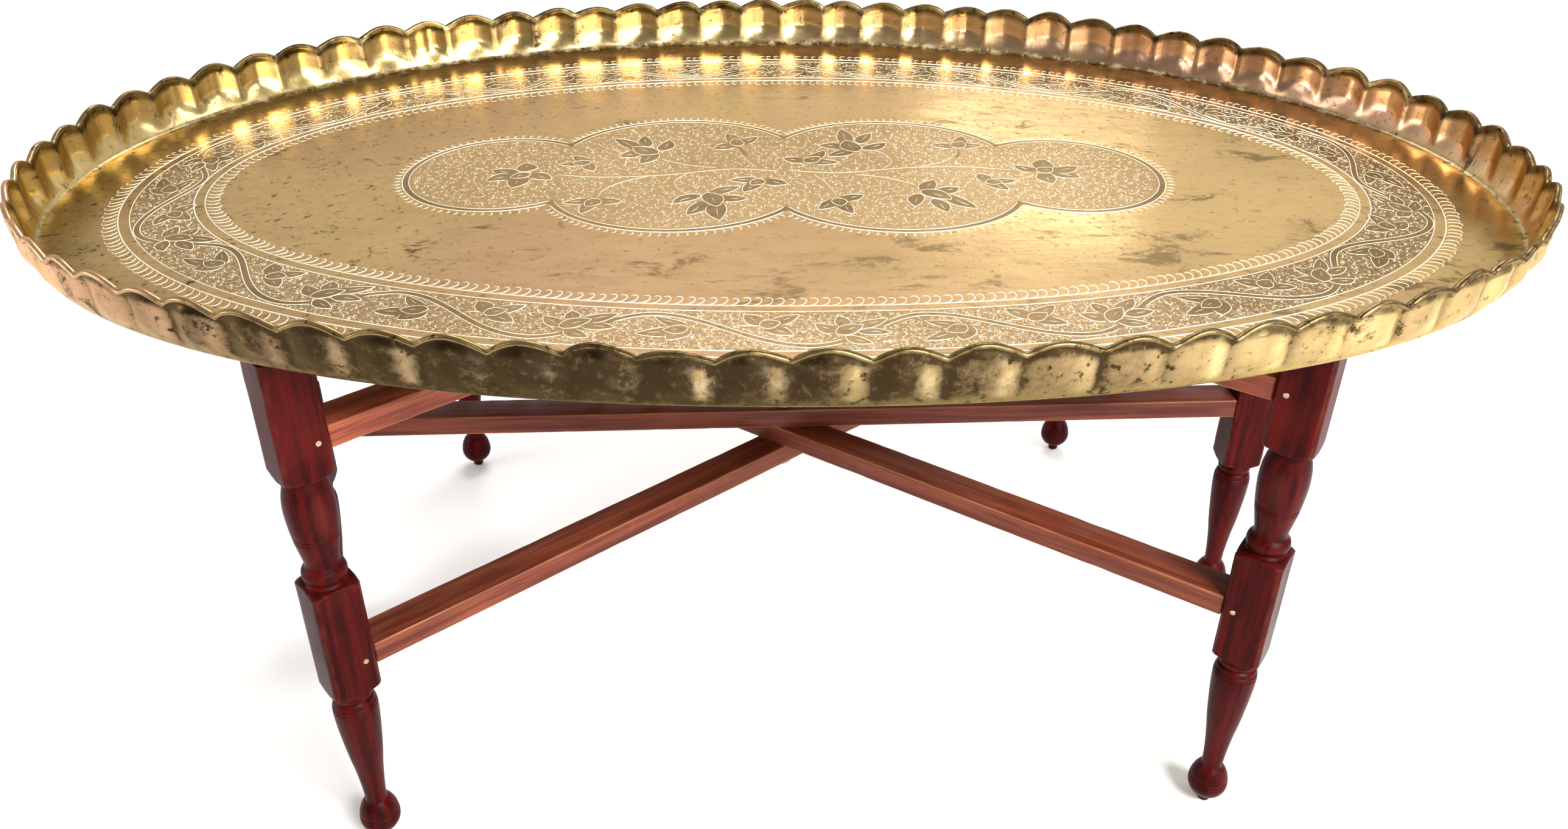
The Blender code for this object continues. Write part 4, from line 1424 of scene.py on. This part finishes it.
def place_camera():
    """Looks along yaw from +Y toward +X, pitched down, then rolled about the view."""
    data = bpy.data.cameras.new("photo_camera")
    data.lens = CAMERA_LENS
    data.sensor_width = SENSOR
    camera = bpy.data.objects.new("photo_camera", data)
    bpy.context.scene.collection.objects.link(camera)
    level = math.cos(CAMERA_PITCH)
    ahead = Vector((math.sin(CAMERA_YAW) * level, math.cos(CAMERA_YAW) * level, -math.sin(CAMERA_PITCH)))
    right = Vector((math.cos(CAMERA_YAW), -math.sin(CAMERA_YAW), 0.0))
    down = ahead.cross(right)
    c, s = math.cos(CAMERA_ROLL), math.sin(CAMERA_ROLL)
    across, below = right * c + down * s, down * c - right * s
    turn = Matrix((across, -below, -ahead)).transposed().to_4x4()
    camera.matrix_world = Matrix.Translation(CAMERA_PLACE) @ turn
    bpy.context.scene.camera = camera


def lay_floor():
    """A wide flat floor, a hair below the feet."""
    half = 9.0
    steps = 12
    line = np.linspace(-half, half, steps + 1)
    verts = [(x, y, -0.0006) for y in line for x in line]
    row = steps + 1
    faces = [
        (j * row + i, j * row + i + 1, (j + 1) * row + i + 1, (j + 1) * row + i)
        for j in range(steps) for i in range(steps)
    ]
    floor = add_piece("studio_floor", verts, faces, studio_floor())


WHITE = (1.0, 1.0, 1.0)
WARM = (1.0, 0.98, 0.94)
LIGHTS = (                      # name, place, what it faces, width and height, power, colour
    ("overhead", (0.2, 2.6, 3.6), (0, 0, 0.3), (2.6, 1.0), 95, WHITE),
    ("key", (1.55, -2.10, 0.80), (0, 0.2, 0.47), (1.9, 0.7), 30, WARM),
    ("front", (0.20, -2.60, 0.75), (0, 0.2, 0.47), (0.7, 0.5), 8, WARM),
    ("high_key", (1.15, -1.70, 1.80), (0, 0.3, 0.47), (1.2, 0.45), 105, (1.0, 0.99, 0.96)),
    ("low_left", (-2.6, -0.3, 0.80), (0, 0.1, 0.47), (1.1, 0.5), 16, (1.0, 0.97, 0.93)),
    ("fill", (-2.8, -1.2, 2.2), (0, 0, 0.3), (1.4, 1.4), 14, WHITE),
    ("side", (3.0, 0.2, 2.4), (0, 0, 0.3), (1.4, 1.2), 22, WHITE),
    ("back", (0.92, 3.2, 1.66), (0.1, 0.1, 0.45), (0.75, 0.12), 1.7, (0.94, 1.0, 1.08)),
)


def soft_light(name, place, target, size, power, colour):
    """A soft rectangular light turned to face a target."""
    data = bpy.data.lights.new(name, "AREA")
    data.shape = "RECTANGLE"
    data.size, data.size_y = size
    data.energy = power
    data.color = colour
    light = bpy.data.objects.new(name, data)
    bpy.context.scene.collection.objects.link(light)
    light.location = place
    light.rotation_euler = (Vector(target) - Vector(place)).to_track_quat("-Z", "Y").to_euler()


def light_studio():
    """Soft lights in a plain world that is dimmer on the viewer's side."""
    world = bpy.data.worlds.new("studio_world")
    bpy.context.scene.world = world
    world.use_nodes = True
    nodes, links = world.node_tree.nodes, world.node_tree.links
    background = nodes["Background"]
    place = nodes.new("ShaderNodeTexCoord")
    split = nodes.new("ShaderNodeSeparateXYZ")
    links.new(place.outputs["Generated"], split.inputs[0])
    shade = nodes.new("ShaderNodeMapRange")
    for socket, value in (("From Min", -0.7), ("From Max", 0.8), ("To Min", 0.24), ("To Max", 1.00)):
        shade.inputs[socket].default_value = value
    links.new(split.outputs["Y"], shade.inputs["Value"])
    links.new(shade.outputs["Result"], background.inputs["Strength"])
    background.inputs["Color"].default_value = (1.0, 0.98, 0.96, 1.0)
    for light in LIGHTS:
        soft_light(*light)
    view = bpy.context.scene.view_settings
    view.view_transform = "Standard"
    view.look = "None"


line_brass = chased_line()
tray_sheet(brass_sheet())
border_ground = matted_ground("matted_border_brass", (0.350, 0.236, 0.130), (0.265, 0.176, 0.096), 0.68)
centre_ground = matted_ground("matted_centre_brass", (0.420, 0.284, 0.148), (0.345, 0.226, 0.116), 0.26)
chase_tray(line_brass, plain_petal(), border_ground, centre_ground)
# painted shade: the same board finish, darker for the low stretchers and lighter for the upper rails
stretcher_wood_painted_darker = rail_wood("stretcher_board_varnish_painted_darker", 0.62)
upper_rail_wood_painted_lighter = rail_wood("upper_rail_board_varnish_painted_lighter", 1.15)
pin_brass = plain_metal("pin_brass", (0.62, 0.50, 0.32), (0.30, 0.20, 0.11), 0.35)
build_stand(mahogany(), stretcher_wood_painted_darker, upper_rail_wood_painted_lighter, pin_brass)
build_pivots(plain_metal("pivot_steel_dull", (0.52, 0.51, 0.50), (0.22, 0.19, 0.16), 0.32))
lay_floor()
light_studio()
place_camera()
